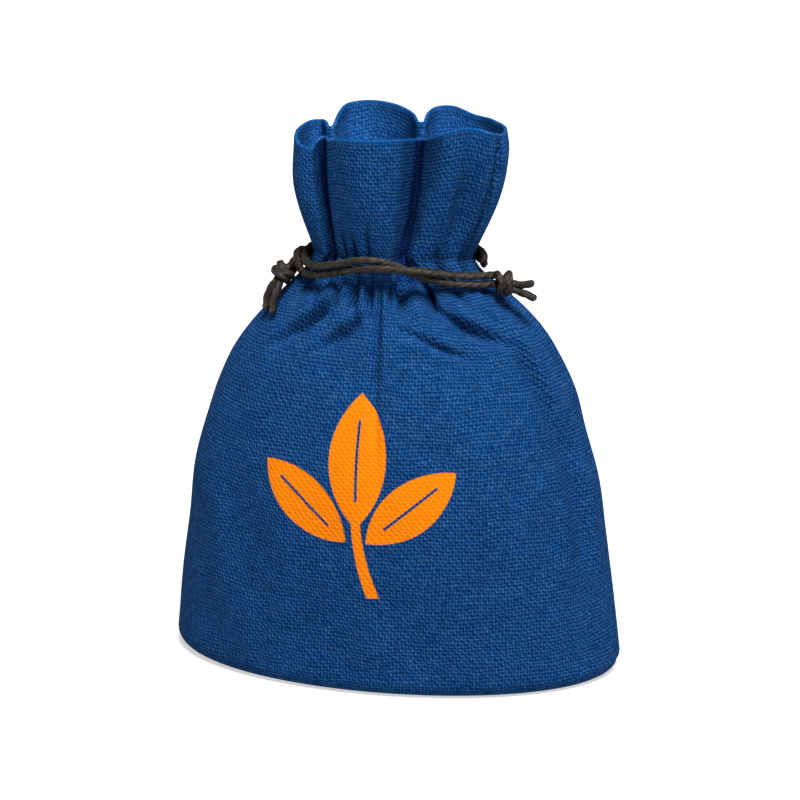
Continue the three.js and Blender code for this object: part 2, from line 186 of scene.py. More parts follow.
BACK_GATHERS = tuple(Gather(*row) for row in (
    (-0.02, 0.0, -0.0256, 0.0, 0.1346),
    (-0.0191, 0.0044, -0.0251, 0.0053, 0.1349),
    (-0.0169, 0.008, -0.0234, 0.0094, 0.1351),
    (-0.0139, 0.0107, -0.0208, 0.01, 0.1352),
    (-0.0115, 0.0082, -0.0189, 0.0074, 0.1352),
    (-0.0096, 0.0058, -0.0178, 0.0044, 0.1348),
    (-0.0099, 0.0094, -0.0171, 0.0092, 0.1376),
    (-0.0102, 0.0128, -0.0161, 0.0146, 0.1386),
    (-0.0064, 0.0141, -0.0115, 0.0177, 0.1389),
    (-0.002, 0.0148, -0.0048, 0.0168, 0.1386),
    (0.0024, 0.0147, 0.0012, 0.0116, 0.1378),
    (0.0044, 0.0106, 0.0038, 0.0068, 0.1376),
    (0.0056, 0.007, 0.0056, 0.0026, 0.1374),
    (0.0065, 0.0104, 0.0059, 0.0088, 0.1388),
    (0.0076, 0.0138, 0.0067, 0.0132, 0.1391),
    (0.0112, 0.0124, 0.0108, 0.016, 0.1388),
    (0.0148, 0.01, 0.0162, 0.0152, 0.1372),
    (0.0174, 0.0073, 0.0222, 0.0104, 0.1372),
    (0.0193, 0.0039, 0.0262, 0.0046, 0.137),
    (0.02, 0.0, 0.0276, -0.001, 0.1368),
))

SOFT, CRISP, SEWN = Crease.SOFT, Crease.CRISP, Crease.SEWN
FRONT_FOLDS = tuple(Fold(*row) for row in (
    (0.312, 0.03, 0.108, 0.099, 0.0915, 0.0030, 0.030, CRISP),
    (0.364, 0.058, 0.108, 0.0975, 0.089, 0.0040, 0.034, CRISP),
    (0.432, 0.04, 0.107, 0.0975, 0.0895, 0.0034, 0.028, CRISP),
    (0.483, 0.047, 0.106, 0.092, 0.048, 0.0024, 0.018, CRISP),
    (0.545, -0.02, 0.106, 0.098, 0.0925, 0.0018, 0.022, CRISP),
    (0.625, -0.065, 0.108, 0.0985, 0.0905, 0.0042, 0.044, CRISP),
    (0.73, -0.065, 0.107, 0.098, 0.0905, 0.0046, 0.040, CRISP),
    (0.35, -0.16, 0.0975, 0.091, 0.081, 0.0044, 0.048, SOFT),
    (0.455, -0.105, 0.0945, 0.089, 0.083, 0.0036, 0.038, SOFT),
    (0.665, 0.2, 0.0965, 0.0905, 0.0845, 0.0036, 0.052, SOFT),
    (0.51, 0.24, 0.0925, 0.0865, 0.083, 0.0022, 0.045, CRISP),
    (0.85, 0.06, 0.094, 0.08, 0.056, 0.0030, 0.036, SOFT),
    (0.908, 0.02, 0.08, 0.05, 0.006, 0.003, 0.046, SOFT),
    (0.25, 0.0, 0.082, 0.046, 0.016, 0.0012, 0.08, SOFT),
    (0.335, 0.0, 0.116, 0.107, 0.101, 0.0018, 0.018, CRISP),
    (0.377, 0.0, 0.114, 0.1065, 0.1, 0.0018, 0.017, CRISP),
    (0.428, 0.0, 0.117, 0.108, 0.1, 0.0018, 0.017, CRISP),
    (0.605, 0.0, 0.116, 0.107, 0.1, 0.0018, 0.02, CRISP),
    (0.74, 0.0, 0.115, 0.107, 0.1, 0.0018, 0.02, CRISP),
    (0.86, 0.0, 0.133, 0.115, 0.1, 0.0022, 0.045, SOFT),
    (0.941, -0.03, 0.1392, 0.133, 0.103, 0.0008, 0.012, SEWN),
    (0.965, 0.0, 0.138, 0.121, 0.104, -0.0007, 0.08, SOFT),
    (0.05, 0.0, 0.1375, 0.124, 0.104, -0.001, 0.09, SOFT),
    (0.81, 0.0, 0.112, 0.101, 0.092, 0.0020, 0.026, CRISP),
    (0.90, -0.01, 0.112, 0.101, 0.093, 0.0016, 0.022, CRISP),
    (0.07, -0.01, 0.116, 0.101, 0.092, 0.0016, 0.022, CRISP),
    (0.15, 0.02, 0.112, 0.1, 0.092, 0.0020, 0.026, CRISP),
    (0.24, 0.02, 0.108, 0.099, 0.09, 0.0024, 0.030, CRISP),
    (0.5, 0.0, 0.1, 0.094, 0.082, -0.001, 0.45, SOFT),
))
BACK_FOLDS = tuple(Fold(*row) for row in (
    (0.16, 0.0, 0.09, 0.062, 0.02, 0.0016, 0.07, SOFT),
    (0.08, -0.012, 0.114, 0.102, 0.092, 0.0016, 0.024, CRISP),
    (0.155, -0.05, 0.11, 0.101, 0.089, 0.0024, 0.03, CRISP),
    (0.225, -0.05, 0.106, 0.098, 0.086, 0.003, 0.034, CRISP),
    (0.315, -0.03, 0.112, 0.1, 0.086, 0.0034, 0.034, CRISP),
    (0.36, -0.05, 0.108, 0.098, 0.088, 0.002, 0.024, CRISP),
    (0.405, 0.012, 0.112, 0.099, 0.081, 0.0034, 0.032, CRISP),
    (0.47, 0.09, 0.098, 0.091, 0.078, 0.0026, 0.046, SOFT),
    (0.48, 0.0, 0.108, 0.1, 0.09, 0.002, 0.022, CRISP),
    (0.54, -0.02, 0.11, 0.1, 0.086, 0.0034, 0.034, CRISP),
    (0.60, 0.02, 0.108, 0.099, 0.09, 0.002, 0.022, CRISP),
    (0.655, 0.03, 0.11, 0.1, 0.086, 0.0036, 0.034, CRISP),
    (0.74, 0.05, 0.108, 0.098, 0.086, 0.003, 0.034, CRISP),
    (0.70, 0.2, 0.095, 0.089, 0.077, 0.003, 0.055, SOFT),
    (0.30, -0.2, 0.094, 0.088, 0.077, 0.003, 0.05, SOFT),
    (0.80, 0.04, 0.11, 0.101, 0.089, 0.0022, 0.026, CRISP),
    (0.86, -0.01, 0.114, 0.104, 0.093, 0.0016, 0.022, CRISP),
    (0.93, 0.0, 0.113, 0.103, 0.094, 0.0012, 0.018, CRISP),
    (0.84, 0.0, 0.08, 0.044, 0.012, 0.002, 0.07, SOFT),
    (0.945, -0.02, 0.1392, 0.133, 0.103, 0.0008, 0.012, SEWN),
    (0.965, 0.0, 0.138, 0.121, 0.104, -0.0007, 0.08, SOFT),
    (0.04, 0.0, 0.1375, 0.124, 0.104, -0.001, 0.08, SOFT),
    (0.5, 0.0, 0.1, 0.094, 0.082, -0.0008, 0.45, SOFT),
))


def columns_of(rows: tuple, names: tuple[str, ...]) -> np.ndarray:
    """Gathers named values of a table.

    Args:
        rows: The table, a tuple of dataclass rows.
        names: The columns wanted.

    Returns:
        An array with a line for each row and a column for each name.
    """
    return np.array([[getattr(row, name) for name in names] for row in rows], float)


def smooth_rows(knots: np.ndarray, values: np.ndarray, at: np.ndarray) -> np.ndarray:
    """Reads a smooth curve through rows of values, with finite-difference slopes.

    Args:
        knots: Where the rows lie, rising.
        values: One line of values for each knot.
        at: The places to read, held between the first knot and the last.

    Returns:
        One line of values for each place.
    """
    spans = np.diff(knots)
    chords = np.diff(values, axis=0) / spans[:, None]
    slopes = np.vstack([chords[:1], np.zeros((len(knots) - 2, values.shape[1])), chords[-1:]])
    before, after = spans[:-1, None], spans[1:, None]
    slopes[1:-1] = (chords[:-1] * after + chords[1:] * before) / (before + after)
    at = np.clip(at, knots[0], knots[-1])
    k = np.clip(np.searchsorted(knots, at, side="right") - 1, 0, len(spans) - 1)
    span = spans[k][:, None]
    s = (at - knots[k])[:, None] / span
    rise = s * s * (3 - 2 * s)
    start = s * (1 - s) ** 2 * span * slopes[k]
    end = s * s * (s - 1) * span * slopes[k + 1]
    return values[k] * (1 - rise) + values[k + 1] * rise + start + end


def spread(rows: np.ndarray, reach: int) -> np.ndarray:
    """Evens out values across each row.

    Args:
        rows: Values or points by row and column.
        reach: How many columns on each side are taken in.

    Returns:
        The averages, in the same shape.
    """
    beside = [(0, 0), (reach, reach), *[(0, 0)] * (rows.ndim - 2)]
    wide = np.pad(rows, beside, "edge")
    return np.mean([wide[:, start:start + rows.shape[1]] for start in range(2 * reach + 1)], 0)


def ease(value: np.ndarray) -> np.ndarray:
    """Smooth step from 0 to 1 of a value held between them."""
    held = np.clip(value, 0, 1)
    return held * held * (3 - 2 * held)


def reaches(points: np.ndarray) -> np.ndarray:
    """Distance to each point along the line through all of them."""
    return np.concatenate([[0], np.cumsum(np.linalg.norm(np.diff(points, axis=0), axis=1))])


def smooth_mesh(name: str, points: np.ndarray, faces: list) -> tuple[bpy.types.Mesh, np.ndarray]:
    """Makes a mesh that is shaded smooth.

    Args:
        name: The mesh's name.
        points: Its points.
        faces: The numbers of the points of each face.

    Returns:
        The mesh, and the number of the point at each corner of its faces.
    """
    mesh = bpy.data.meshes.new(name)
    mesh.from_pydata(points.tolist(), [], faces)
    mesh.polygons.foreach_set("use_smooth", np.ones(len(mesh.polygons), bool))
    corners = np.empty(len(mesh.loops), np.int32)
    mesh.loops.foreach_get("vertex_index", corners)
    return mesh, corners


def shown(mesh: bpy.types.Mesh, label: str, places: np.ndarray) -> bpy.types.Object:
    """Gives a mesh its UV map and puts it in the scene.

    Args:
        mesh: The mesh.
        label: The map's name.
        places: Where each corner of its faces lies on the map.

    Returns:
        The mesh's object.
    """
    mesh.uv_layers.new(name=label).data.foreach_set("uv", places.astype(np.float32).ravel())
    piece = bpy.data.objects.new(mesh.name, mesh)
    bpy.context.scene.collection.objects.link(piece)
    return piece


def declare(piece: bpy.types.Object, material: bpy.types.Material, node: str) -> None:
    """Gives a piece its finish and its body, and hides the CAD node that it stands for.

    Args:
        piece: The piece.
        material: Its finish.
        node: The CAD node.
    """
    piece.data.materials.append(material)
    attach(piece, BODY)
    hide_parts(node)


@dataclass(frozen=True)
class Pouch:
    """The smooth form of the filled and gathered bag, shared by both panels."""

    edge_radius: float = 0.004
    base_span: float = 0.034
    base_taper: float = 0.07
    neck_height: float = 0.105
    rim_height: float = 0.138
    gather_foot: float = 0.084
    neck_half_width: float = 0.02
    neck_half_depth: float = 0.0148
    arc_steps: int = 720

    @property
    def edge_arc(self) -> float:
        """Length of cloth round the lower edge."""
        return self.edge_radius * math.pi / 2

    def station(self, height: float) -> float:
        """Station of a height on the wall."""
        return self.edge_arc + height - self.edge_radius

    def height(self, station: float) -> float:
        """Height on the wall of a station."""
        return self.edge_radius + station - self.edge_arc

    def half_ellipse(
        self, half_width: float, half_depth: float, share: np.ndarray,
    ) -> tuple[np.ndarray, np.ndarray]:
        """Places points on a half ellipse by share of its arc.

        Args:
            half_width: Half size along X.
            half_depth: Size along Y.
            share: Shares of the arc, from the left end to the right one.

        Returns:
            The points' x and y, with y positive.
        """
        angle = np.linspace(math.pi, 0, self.arc_steps + 1)
        x, y = half_width * np.cos(angle), half_depth * np.sin(angle)
        reach = np.concatenate([[0], np.cumsum(np.hypot(np.diff(x), np.diff(y)))])
        at = np.interp(share, reach / reach[-1], angle)
        return half_width * np.cos(at), half_depth * np.sin(at)

    def row(self, side: int, gather: np.ndarray, share: np.ndarray, station: float) -> np.ndarray:
        """Places one level row of the cloth's outer face, before its folds.

        Args:
            side: -1 on the front panel, 1 on the back one.
            gather: The gathers read at each share, as neck x and y and rim x, y and z.
            share: Shares across the panel.
            station: Distance up the cloth.

        Returns:
            One point for each share.
        """
        foot, neck = SECTIONS[0], SECTIONS[-1]
        neck_x, neck_y, rim_x, rim_y, rim_z = gather.T
        if station <= self.edge_arc:
            angle = max(station, 0) / self.edge_radius
            flat = 1 + min(station, 0) / self.base_span
            inset = self.edge_radius * (1 - math.sin(angle))
            half_width = (foot.half_width - inset) * (1 - self.base_taper * (1 - flat))
            x, y = self.half_ellipse(half_width, (foot.half_depth - inset) * flat, share)
            z = self.edge_radius * (1 - math.cos(angle))
            return np.stack([foot.centre_x + x, side * y, np.full_like(x, z)], 1)
        height = self.height(station)
        if height <= self.neck_height:
            names = ("half_width", "half_depth", "centre_x", "lean")
            heights = columns_of(SECTIONS, ("height",))[:, 0]
            section = smooth_rows(heights, columns_of(SECTIONS, names), np.array([height]))[0]
            half_width, half_depth, centre_x, lean = section
            x, y = self.half_ellipse(half_width, half_depth, share)
            round_x, round_y = self.half_ellipse(self.neck_half_width, self.neck_half_depth, share)
            pull = max(0.0, (height - self.gather_foot) / (self.neck_height - self.gather_foot)) ** 2
            at_x = x + pull * (neck_x - round_x)
            at_y = side * y + pull * (neck_y - side * round_y)
            return np.stack([centre_x + at_x, at_y, height + lean * at_y], 1)
        rise = min(1.0, (height - self.neck_height) / (self.rim_height - self.neck_height))
        flare = math.sin(math.pi * rise / 2)
        neck_z = self.neck_height + neck.lean * neck_y
        x = neck.centre_x * (1 - rise) + neck_x + (rim_x - neck_x) * flare
        y = neck_y + (rim_y - neck_y) * flare
        return np.stack([x, y, neck_z + (rim_z - neck_z) * rise], 1)


@dataclass(frozen=True)
class Skins:
    """Both faces of a panel as rows of points, and what goes with each point.

    Across and down are its place on the flat cloth, hollow is how much painted shade a fold or
    gather trough puts on it, and past is how far it is to the right of a sewn line, or -1 where
    there is none.
    """

    outer: np.ndarray
    inner: np.ndarray
    across: np.ndarray
    down: np.ndarray
    hollow: np.ndarray
    past: np.ndarray


@dataclass
class Panel:
    """One panel of the cloth, a sheet with a rolled rim.

    Wall rows give two heights and how many rows lie between them, and flat widths a height and
    the width of the flat cloth there. Deep fold and deep gather are the depths at which a trough's
    painted shade is full, against the cloth beside it within the spans, which count columns.
    """

    name: str
    node: str
    side: int
    gathers: tuple[Gather, ...]
    folds: tuple[Fold, ...]
    seed: int
    pouch: Pouch = field(default_factory=Pouch)
    thickness: float = 0.0009
    columns: int = 200
    base_rows: int = 8
    edge_rows: int = 7
    wall_rows: tuple[tuple[float, float, int], ...] = (
        (0.004, 0.078, 62), (0.078, 0.114, 72), (0.114, 0.138, 31),
    )
    flat_widths: tuple[tuple[float, float], ...] = (
        (0.02, 0.141), (0.05, 0.134), (0.062, 0.126), (0.08, 0.112), (0.105, 0.106), (0.138, 0.104),
    )
    flat_length: float = 0.177
    seam_gap: float = -0.00012
    seam_calm: float = 0.012
    seam_pinch: float = 0.0007
    seam_pinch_reach: float = 0.0014
    seam_pucker: float = 0.5
    stitch_pitch: float = 0.0031
    base_calm: float = 0.008
    rim_steps: int = 5
    rim_swell: float = 1.12
    rim_swell_reach: float = 0.0012
    ripple: float = 0.00034
    ripple_waves: int = 26
    shortest_ripple: float = 0.009
    longest_ripple: float = 0.034
    ripple_lean: float = 0.5
    ripple_stretch: float = 0.55
    deep_fold: float = 0.0026
    fold_span: int = 7
    open_share: float = 0.8
    deep_gather: float = 0.0026
    gather_span: int = 20
    gather_shade: float = 1.5

    def stations(self) -> np.ndarray:
        """Spaces the rows, coarsely under the bag and closely round the neck.

        Returns:
            The station of each row.
        """
        legs = [(-self.pouch.base_span, 0, self.base_rows), (0, self.pouch.edge_arc, self.edge_rows)]
        for low, high, rows in self.wall_rows:
            legs.append((self.pouch.station(low), self.pouch.station(high), rows))
        parts = [np.linspace(low, high, rows, endpoint=False) for low, high, rows in legs]
        return np.concatenate([*parts, [self.pouch.station(self.pouch.rim_height)]])

    def flat_width(self, station: np.ndarray) -> np.ndarray:
        """Width of the flat cloth at each station."""
        heights, widths = zip(*self.flat_widths)
        return np.interp(self.pouch.height(station), heights, widths)

    def fold_depth(self, share: np.ndarray, height: float) -> np.ndarray:
        """How far the troughs draw the cloth in.

        Args:
            share: Shares across the panel.
            height: Height of the row on the smooth form.

        Returns:
            A depth for each share.
        """
        depth = np.zeros_like(share)
        for fold in self.folds:
            depth += fold.depth * fold.strength(height) * fold.profile(share, height)
        return depth

    def past_sewing(self, share: np.ndarray, height: float, width: float) -> np.ndarray:
        """How far to the right of the sewn line the cloth is.

        Args:
            share: Shares across the panel.
            height: Height of the row on the smooth form.
            width: Width of the flat cloth at the row.

        Returns:
            A distance for each share, or -1 where no line is sewn.
        """
        for fold in self.folds:
            if fold.crease is Crease.SEWN and fold.low < height < fold.top:
                return (share - fold.centre(height)) * width
        return np.full_like(share, -1.0)

    def ripples(self, across: np.ndarray, down: np.ndarray) -> np.ndarray:
        """Low uneven waves of the slack cloth.

        Args:
            across: Distance across the flat cloth.
            down: Distance down the flat cloth from the rim.

        Returns:
            A height for each place.
        """
        rng = np.random.default_rng(self.seed)
        total = np.zeros_like(across)
        for _ in range(self.ripple_waves):
            length = rng.uniform(self.shortest_ripple, self.longest_ripple)
            turn = rng.normal(0, self.ripple_lean)
            phase = rng.uniform(0, 2 * math.pi)
            along = across * math.cos(turn) + down * self.ripple_stretch * math.sin(turn)
            total += np.sin(2 * math.pi * along / length + phase) * length / self.longest_ripple
        return self.ripple * total / math.sqrt(self.ripple_waves / 2)

    def smooth_face(
        self, stations: np.ndarray, share: np.ndarray,
    ) -> tuple[np.ndarray, np.ndarray]:
        """Places the outer face before its folds.

        Args:
            stations: Stations of the rows.
            share: Shares of the columns.

        Returns:
            The points and their outward directions, by row and column.
        """
        table = columns_of(self.gathers, ("neck_x", "neck_y", "rim_x", "rim_y", "rim_z"))
        reach = reaches(table[:, 2:4])
        gather = smooth_rows(reach / reach[-1], table, share)
        outer = np.stack([self.pouch.row(self.side, gather, share, station) for station in stations])
        across, up = np.gradient(outer, share, axis=1), np.gradient(outer, stations, axis=0)
        normal = np.cross(across, up) * -self.side
        normal[stations <= 0] = (0, 0, -1)
        normal[:, [0, -1], 1] = 0
        normal /= np.linalg.norm(normal, axis=2)[:, :, None]
        return outer, normal

    def shading(
        self, outer: np.ndarray, normal: np.ndarray, depth: np.ndarray,
    ) -> tuple[np.ndarray, np.ndarray]:
        """How much painted shade each place takes from how deep in a trough it lies, against the cloth
        beside it.

        Args:
            outer: The outer face before its folds.
            normal: Its outward directions.
            depth: How far the folds draw it in.

        Returns:
            A value from 0 to 1 for the folds and one for the gathers.
        """
        folded = (depth - self.open_share * spread(depth, self.fold_span)) / self.deep_fold
        facing = spread(normal, self.gather_span)
        behind = np.sum((spread(outer, self.gather_span) - outer) * facing, axis=2)
        behind /= np.linalg.norm(facing, axis=2) * self.deep_gather
        return np.clip(folded, 0, 1), np.clip(behind, 0, 1)

    def skins(self) -> Skins:
        """Works out both faces of the cloth.

        Returns:
            The faces, and what goes with each of their points.
        """
        stations = self.stations()
        share = np.linspace(0, 1, self.columns)
        outer, normal = self.smooth_face(stations, share)
        steps = np.linalg.norm(np.diff(outer, axis=0), axis=2).mean(axis=1)
        down = np.concatenate([np.cumsum(steps[::-1])[::-1], [0]])[:, None] + np.zeros_like(share)
        heights, widths = self.pouch.height(stations), self.flat_width(stations)
        across = (share - 0.5) * widths[:, None]
        edge = (0.5 - np.abs(share - 0.5)) * widths[:, None]
        off_seam = ease(edge / self.seam_calm)
        depth = np.stack([self.fold_depth(share, height) for height in heights])
        folded, gathered = self.shading(outer, normal, depth)
        # Hollow is painted shade: the cloth's colour darkens in folds and in the troughs between
        # gathers.
        hollow = folded + self.gather_shade * gathered * off_seam
        past = np.stack([self.past_sewing(share, *row) for row in zip(heights, widths)])
        calm = off_seam * ease((stations[:, None] - self.pouch.edge_arc) / self.base_calm)
        depth += self.ripples(across, down) * calm
        pucker = 1 + self.seam_pucker * np.sin(2 * math.pi * down / self.stitch_pitch)
        pinched = np.exp(-((edge / self.seam_pinch_reach) ** 2)) * ease(down / self.seam_calm)
        depth += self.seam_pinch * pucker * pinched
        outer[:, :, 1] += self.side * self.seam_gap / 2
        outer -= normal * depth[:, :, None]
        swell = 1 + (self.rim_swell - 1) * np.exp(-((down / self.rim_swell_reach) ** 2))
        inner = outer - normal * (self.thickness * swell)[:, :, None]
        return Skins(outer, inner, across, down, hollow, past)

    def flat_place(self, share: float, height: float) -> tuple[float, float]:
        """Finds a place on the flat cloth.

        Args:
            share: Share across the panel.
            height: Height on the smooth form.

        Returns:
            The place across and down the flat cloth.
        """
        skins = self.skins()
        row = int(np.argmin(np.abs(self.stations() - self.pouch.station(height))))
        column = int(round(share * (self.columns - 1)))
        return float(skins.across[row, column]), float(skins.down[row, column])

    def flat_area(self) -> float:
        """Area of the flat cloth."""
        stations = self.stations()
        return float(np.trapz(self.flat_width(stations), stations))

    def rim(self, outer: np.ndarray, inner: np.ndarray) -> np.ndarray:
        """Rounds the rim over from the outer face to the inner one.

        Args:
            outer: Points of the outer face.
            inner: Points of the inner face.

        Returns:
            The rows of points between the two.
        """
        middle = (outer[-1] + inner[-1]) / 2
        out = (outer[-1] - inner[-1]) / 2
        rise = outer[-1] - outer[-2]
        rise *= np.linalg.norm(out, axis=1)[:, None] / np.linalg.norm(rise, axis=1)[:, None]
        angles = math.pi * np.arange(1, self.rim_steps) / self.rim_steps
        return np.array([middle + out * math.cos(angle) + rise * math.sin(angle) for angle in angles])

    def faces(self, index: np.ndarray, rows: int) -> list[list[int]]:
        """Lists the faces of the closed sheet.

        Args:
            index: The points' numbers, by row round the sheet and column.
            rows: How many rows each side of the cloth has.

        Returns:
            The numbers of the points of each face.
        """
        after = np.roll(index, -1, axis=0)
        skin = np.stack([index[:, :-1], index[:, 1:], after[:, 1:], after[:, :-1]], 2)
        found = skin.reshape(-1, 4).tolist()
        last = len(index) - 1
        for line, turn in ((index[:, 0].tolist(), 1), (index[:, -1].tolist(), -1)):
            for low in range(rows - 1):
                end = [line[low], line[low + 1], line[last - low - 1], line[last - low]]
                found.append(end[::turn])
            found.append(line[rows - 1:last - rows + 2][::turn])
        return [face[::-1] for face in found] if self.side > 0 else found

    def build(self) -> bpy.types.Object:
        """Makes the panel's mesh.

        Returns:
            The panel's object, closed, with its flat pattern as its UV map.
        """
        skins = self.skins()
        rows, columns = skins.across.shape
        rim = self.rim(skins.outer, skins.inner)
        points = np.concatenate([skins.outer, rim, skins.inner[::-1]])
        index = np.arange(len(points) * columns).reshape(-1, columns)
        mesh, corners = smooth_mesh(self.name, points.reshape(-1, 3), self.faces(index, rows))
        turned = np.repeat(skins.across[-1:], len(rim), 0)
        across = np.concatenate([skins.across, turned, skins.across[::-1]]).ravel()
        down = np.concatenate([skins.down, turned * 0, skins.down[::-1]]).ravel()
        piece = shown(mesh, "cut", np.stack([across[corners], down[corners]], 1))
        rest = np.ones((rows + len(rim), columns))
        # Hollow carries the painted shade of folds and gathers to the cloth's colour.
        values = {
            "hollow": np.concatenate([skins.hollow, rest * 0]),
            "inside": np.repeat([0.0, 0.5, 1.0], np.array([rows, len(rim), rows]) * columns),
            "past": np.concatenate([skins.past, -rest]),
        }
        for label, held in values.items():
            attribute = mesh.attributes.new(label, "FLOAT", "POINT")
            attribute.data.foreach_set("value", held.astype(np.float32).ravel())
        mesh.validate()
        return piece

    def dress(self, material: bpy.types.Material) -> None:
        """Args:
            material: The finish of the cloth.
        """
        piece = self.build()
        declare(piece, material, self.node)
        self.flat_area()
        LOG.info("%s: %d faces", self.name, len(piece.data.polygons))


class Term:
    """A value in a material's graph, with Python's arithmetic."""

    def __init__(self, graph: "Graph", socket: bpy.types.NodeSocket) -> None:
        """Wraps an output socket of a graph."""
        self.graph, self.socket = graph, socket

    def __add__(self, other: Any) -> "Term":
        """Sum."""
        return self.graph.maths("ADD", self, other)

    __radd__ = __add__

    def __sub__(self, other: Any) -> "Term":
        """Difference."""
        return self.graph.maths("SUBTRACT", self, other)

    def __rsub__(self, other: Any) -> "Term":
        """Difference from another value."""
        return self.graph.maths("SUBTRACT", other, self)

    def __mul__(self, other: Any) -> "Term":
        """Product."""
        return self.graph.maths("MULTIPLY", self, other)

    __rmul__ = __mul__

    def __truediv__(self, other: Any) -> "Term":
        """Quotient."""
        return self.graph.maths("DIVIDE", self, other)

    def __abs__(self) -> "Term":
        """Size without its sign."""
        return self.graph.maths("ABSOLUTE", self)

    def sine(self) -> "Term":
        """Sine of the value in radians."""
        return self.graph.maths("SINE", self)

    def least(self, other: Any) -> "Term":
        """The smaller of two values."""
        return self.graph.maths("MINIMUM", self, other)

    def most(self, other: Any) -> "Term":
        """The larger of two values."""
        return self.graph.maths("MAXIMUM", self, other)

    def distance(self, other: Any) -> "Term":
        """Length of the vector whose two sides are this value and another."""
        return self.graph.maths("SQRT", self * self + other * other)

    def between(self, low: float, high: float) -> "Term":
        """Smooth step of the value.

        Args:
            low: Where it leaves 0.
            high: Where it reaches 1.

        Returns:
            The step's term.
        """
        made = self.graph.node(
            "ShaderNodeMapRange",
            {"interpolation_type": "SMOOTHSTEP"},
            {"Value": self, "From Min": low, "From Max": high, "To Min": 0.0, "To Max": 1.0},
        )
        return Term(self.graph, made.outputs["Result"])


class Graph:
    """A material and the nodes that make its look."""

    def __init__(self, name: str) -> None:
        """Starts an empty material.

        Args:
            name: The material's name.
        """
        self.material = bpy.data.materials.new(name)
        self.material.use_nodes = True
        self.tree = self.material.node_tree
        self.tree.nodes.clear()

    def feed(self, socket: bpy.types.NodeSocket, value: Any) -> None:
        """Sets an input, or links it where the value comes from another node.

        Args:
            socket: The input.
            value: A number, a colour, a term or an output socket.
        """
        if isinstance(value, Term):
            value = value.socket
        if isinstance(value, bpy.types.NodeSocket):
            self.tree.links.new(value, socket)
        else:
            socket.default_value = value

    def node(self, kind: str, settings: dict[str, Any], inputs: dict[Any, Any]) -> bpy.types.Node:
        """Adds a node.

        Args:
            kind: The node's type.
            settings: Its settings, made before its inputs.
            inputs: Values of its inputs, by name or place.

        Returns:
            The node.
        """
        made = self.tree.nodes.new(kind)
        for name, value in settings.items():
            setattr(made, name, value)
        for key, value in inputs.items():
            self.feed(made.inputs[key], value)
        return made

    def maths(self, operation: str, *values: Any) -> Term:
        """Applies one operation to numbers or terms."""
        made = self.node("ShaderNodeMath", {"operation": operation}, dict(enumerate(values)))
        return Term(self, made.outputs[0])

    def uv(self, name: str) -> tuple[Term, Term]:
        """Reads a UV map.

        Args:
            name: The map's name.

        Returns:
            Its two values.
        """
        source = self.node("ShaderNodeUVMap", {"uv_map": name}, {})
        split = self.node("ShaderNodeSeparateXYZ", {}, {"Vector": source.outputs["UV"]})
        return Term(self, split.outputs["X"]), Term(self, split.outputs["Y"])

    def attribute(self, name: str) -> Term:
        """A number that the mesh holds at each point."""
        source = self.node("ShaderNodeAttribute", {"attribute_name": name}, {})
        return Term(self, source.outputs["Fac"])

    def noise(self, x: Term, y: Term, detail: float = 1.0, roughness: float = 0.5) -> Term:
        """Smooth noise in a plane.

        Args:
            x: First place, where 1 is the width of a blot.
            y: Second place.
            detail: How many finer layers it has.
            roughness: How strong those are.

        Returns:
            A term about 0, mostly within 0.25 of it.
        """
        spot = self.node("ShaderNodeCombineXYZ", {}, {"X": x, "Y": y})
        made = self.node(
            "ShaderNodeTexNoise",
            {"noise_dimensions": "2D"},
            {"Vector": spot.outputs["Vector"], "Scale": 1.0, "Detail": detail, "Roughness": roughness},
        )
        return Term(self, made.outputs["Fac"]) - 0.5

    def mix(self, factor: Any, first: Any, second: Any, blend: str = "MIX") -> bpy.types.NodeSocket:
        """Blends two colours.

        Args:
            factor: Share of the second colour.
            first: First colour.
            second: Second colour.
            blend: How the two are combined.

        Returns:
            The blended colour's socket.
        """
        made = self.node(
            "ShaderNodeMix",
            {"data_type": "RGBA", "blend_type": blend, "clamp_factor": True},
            {0: factor, 6: first, 7: second},
        )
        return made.outputs[2]

    def finish(
        self, colour: Any, roughness: Any, height: Term, depth: float, constants: dict[str, float],
    ) -> None:
        """Ends the graph in a surface.

        Args:
            colour: Base colour.
            roughness: Roughness.
            height: Relief, from 0 to 1.
            depth: What a height of 1 stands for.
            constants: Other inputs of the surface, as plain values.
        """
        bump = self.node("ShaderNodeBump", {}, {"Strength": 1.0, "Distance": depth, "Height": height})
        inputs = {"Base Color": colour, "Roughness": roughness, "Normal": bump.outputs["Normal"]}
        surface = self.node("ShaderNodeBsdfPrincipled", {}, {**inputs, **constants})
        self.node("ShaderNodeOutputMaterial", {}, {"Surface": surface.outputs["BSDF"]})


def tone(red: int, green: int, blue: int) -> tuple[float, float, float, float]:
    """Turns a display colour into the linear one that a surface takes.

    Args:
        red: Red, from 0 to 255.
        green: Green.
        blue: Blue.

    Returns:
        The linear colour, opaque.
    """
    channels = (channel / 255 for channel in (red, green, blue))
    linear = [c / 12.92 if c <= 0.04045 else ((c + 0.055) / 1.055) ** 2.4 for c in channels]
    return (linear[0], linear[1], linear[2], 1.0)


@dataclass(frozen=True)
class Leaf:
    """A pointed oval of the print: its middle, its half sizes, and its lean from upright."""

    x: float
    y: float
    half_length: float
    half_width: float
    lean: float
    rib: float = 0.00035


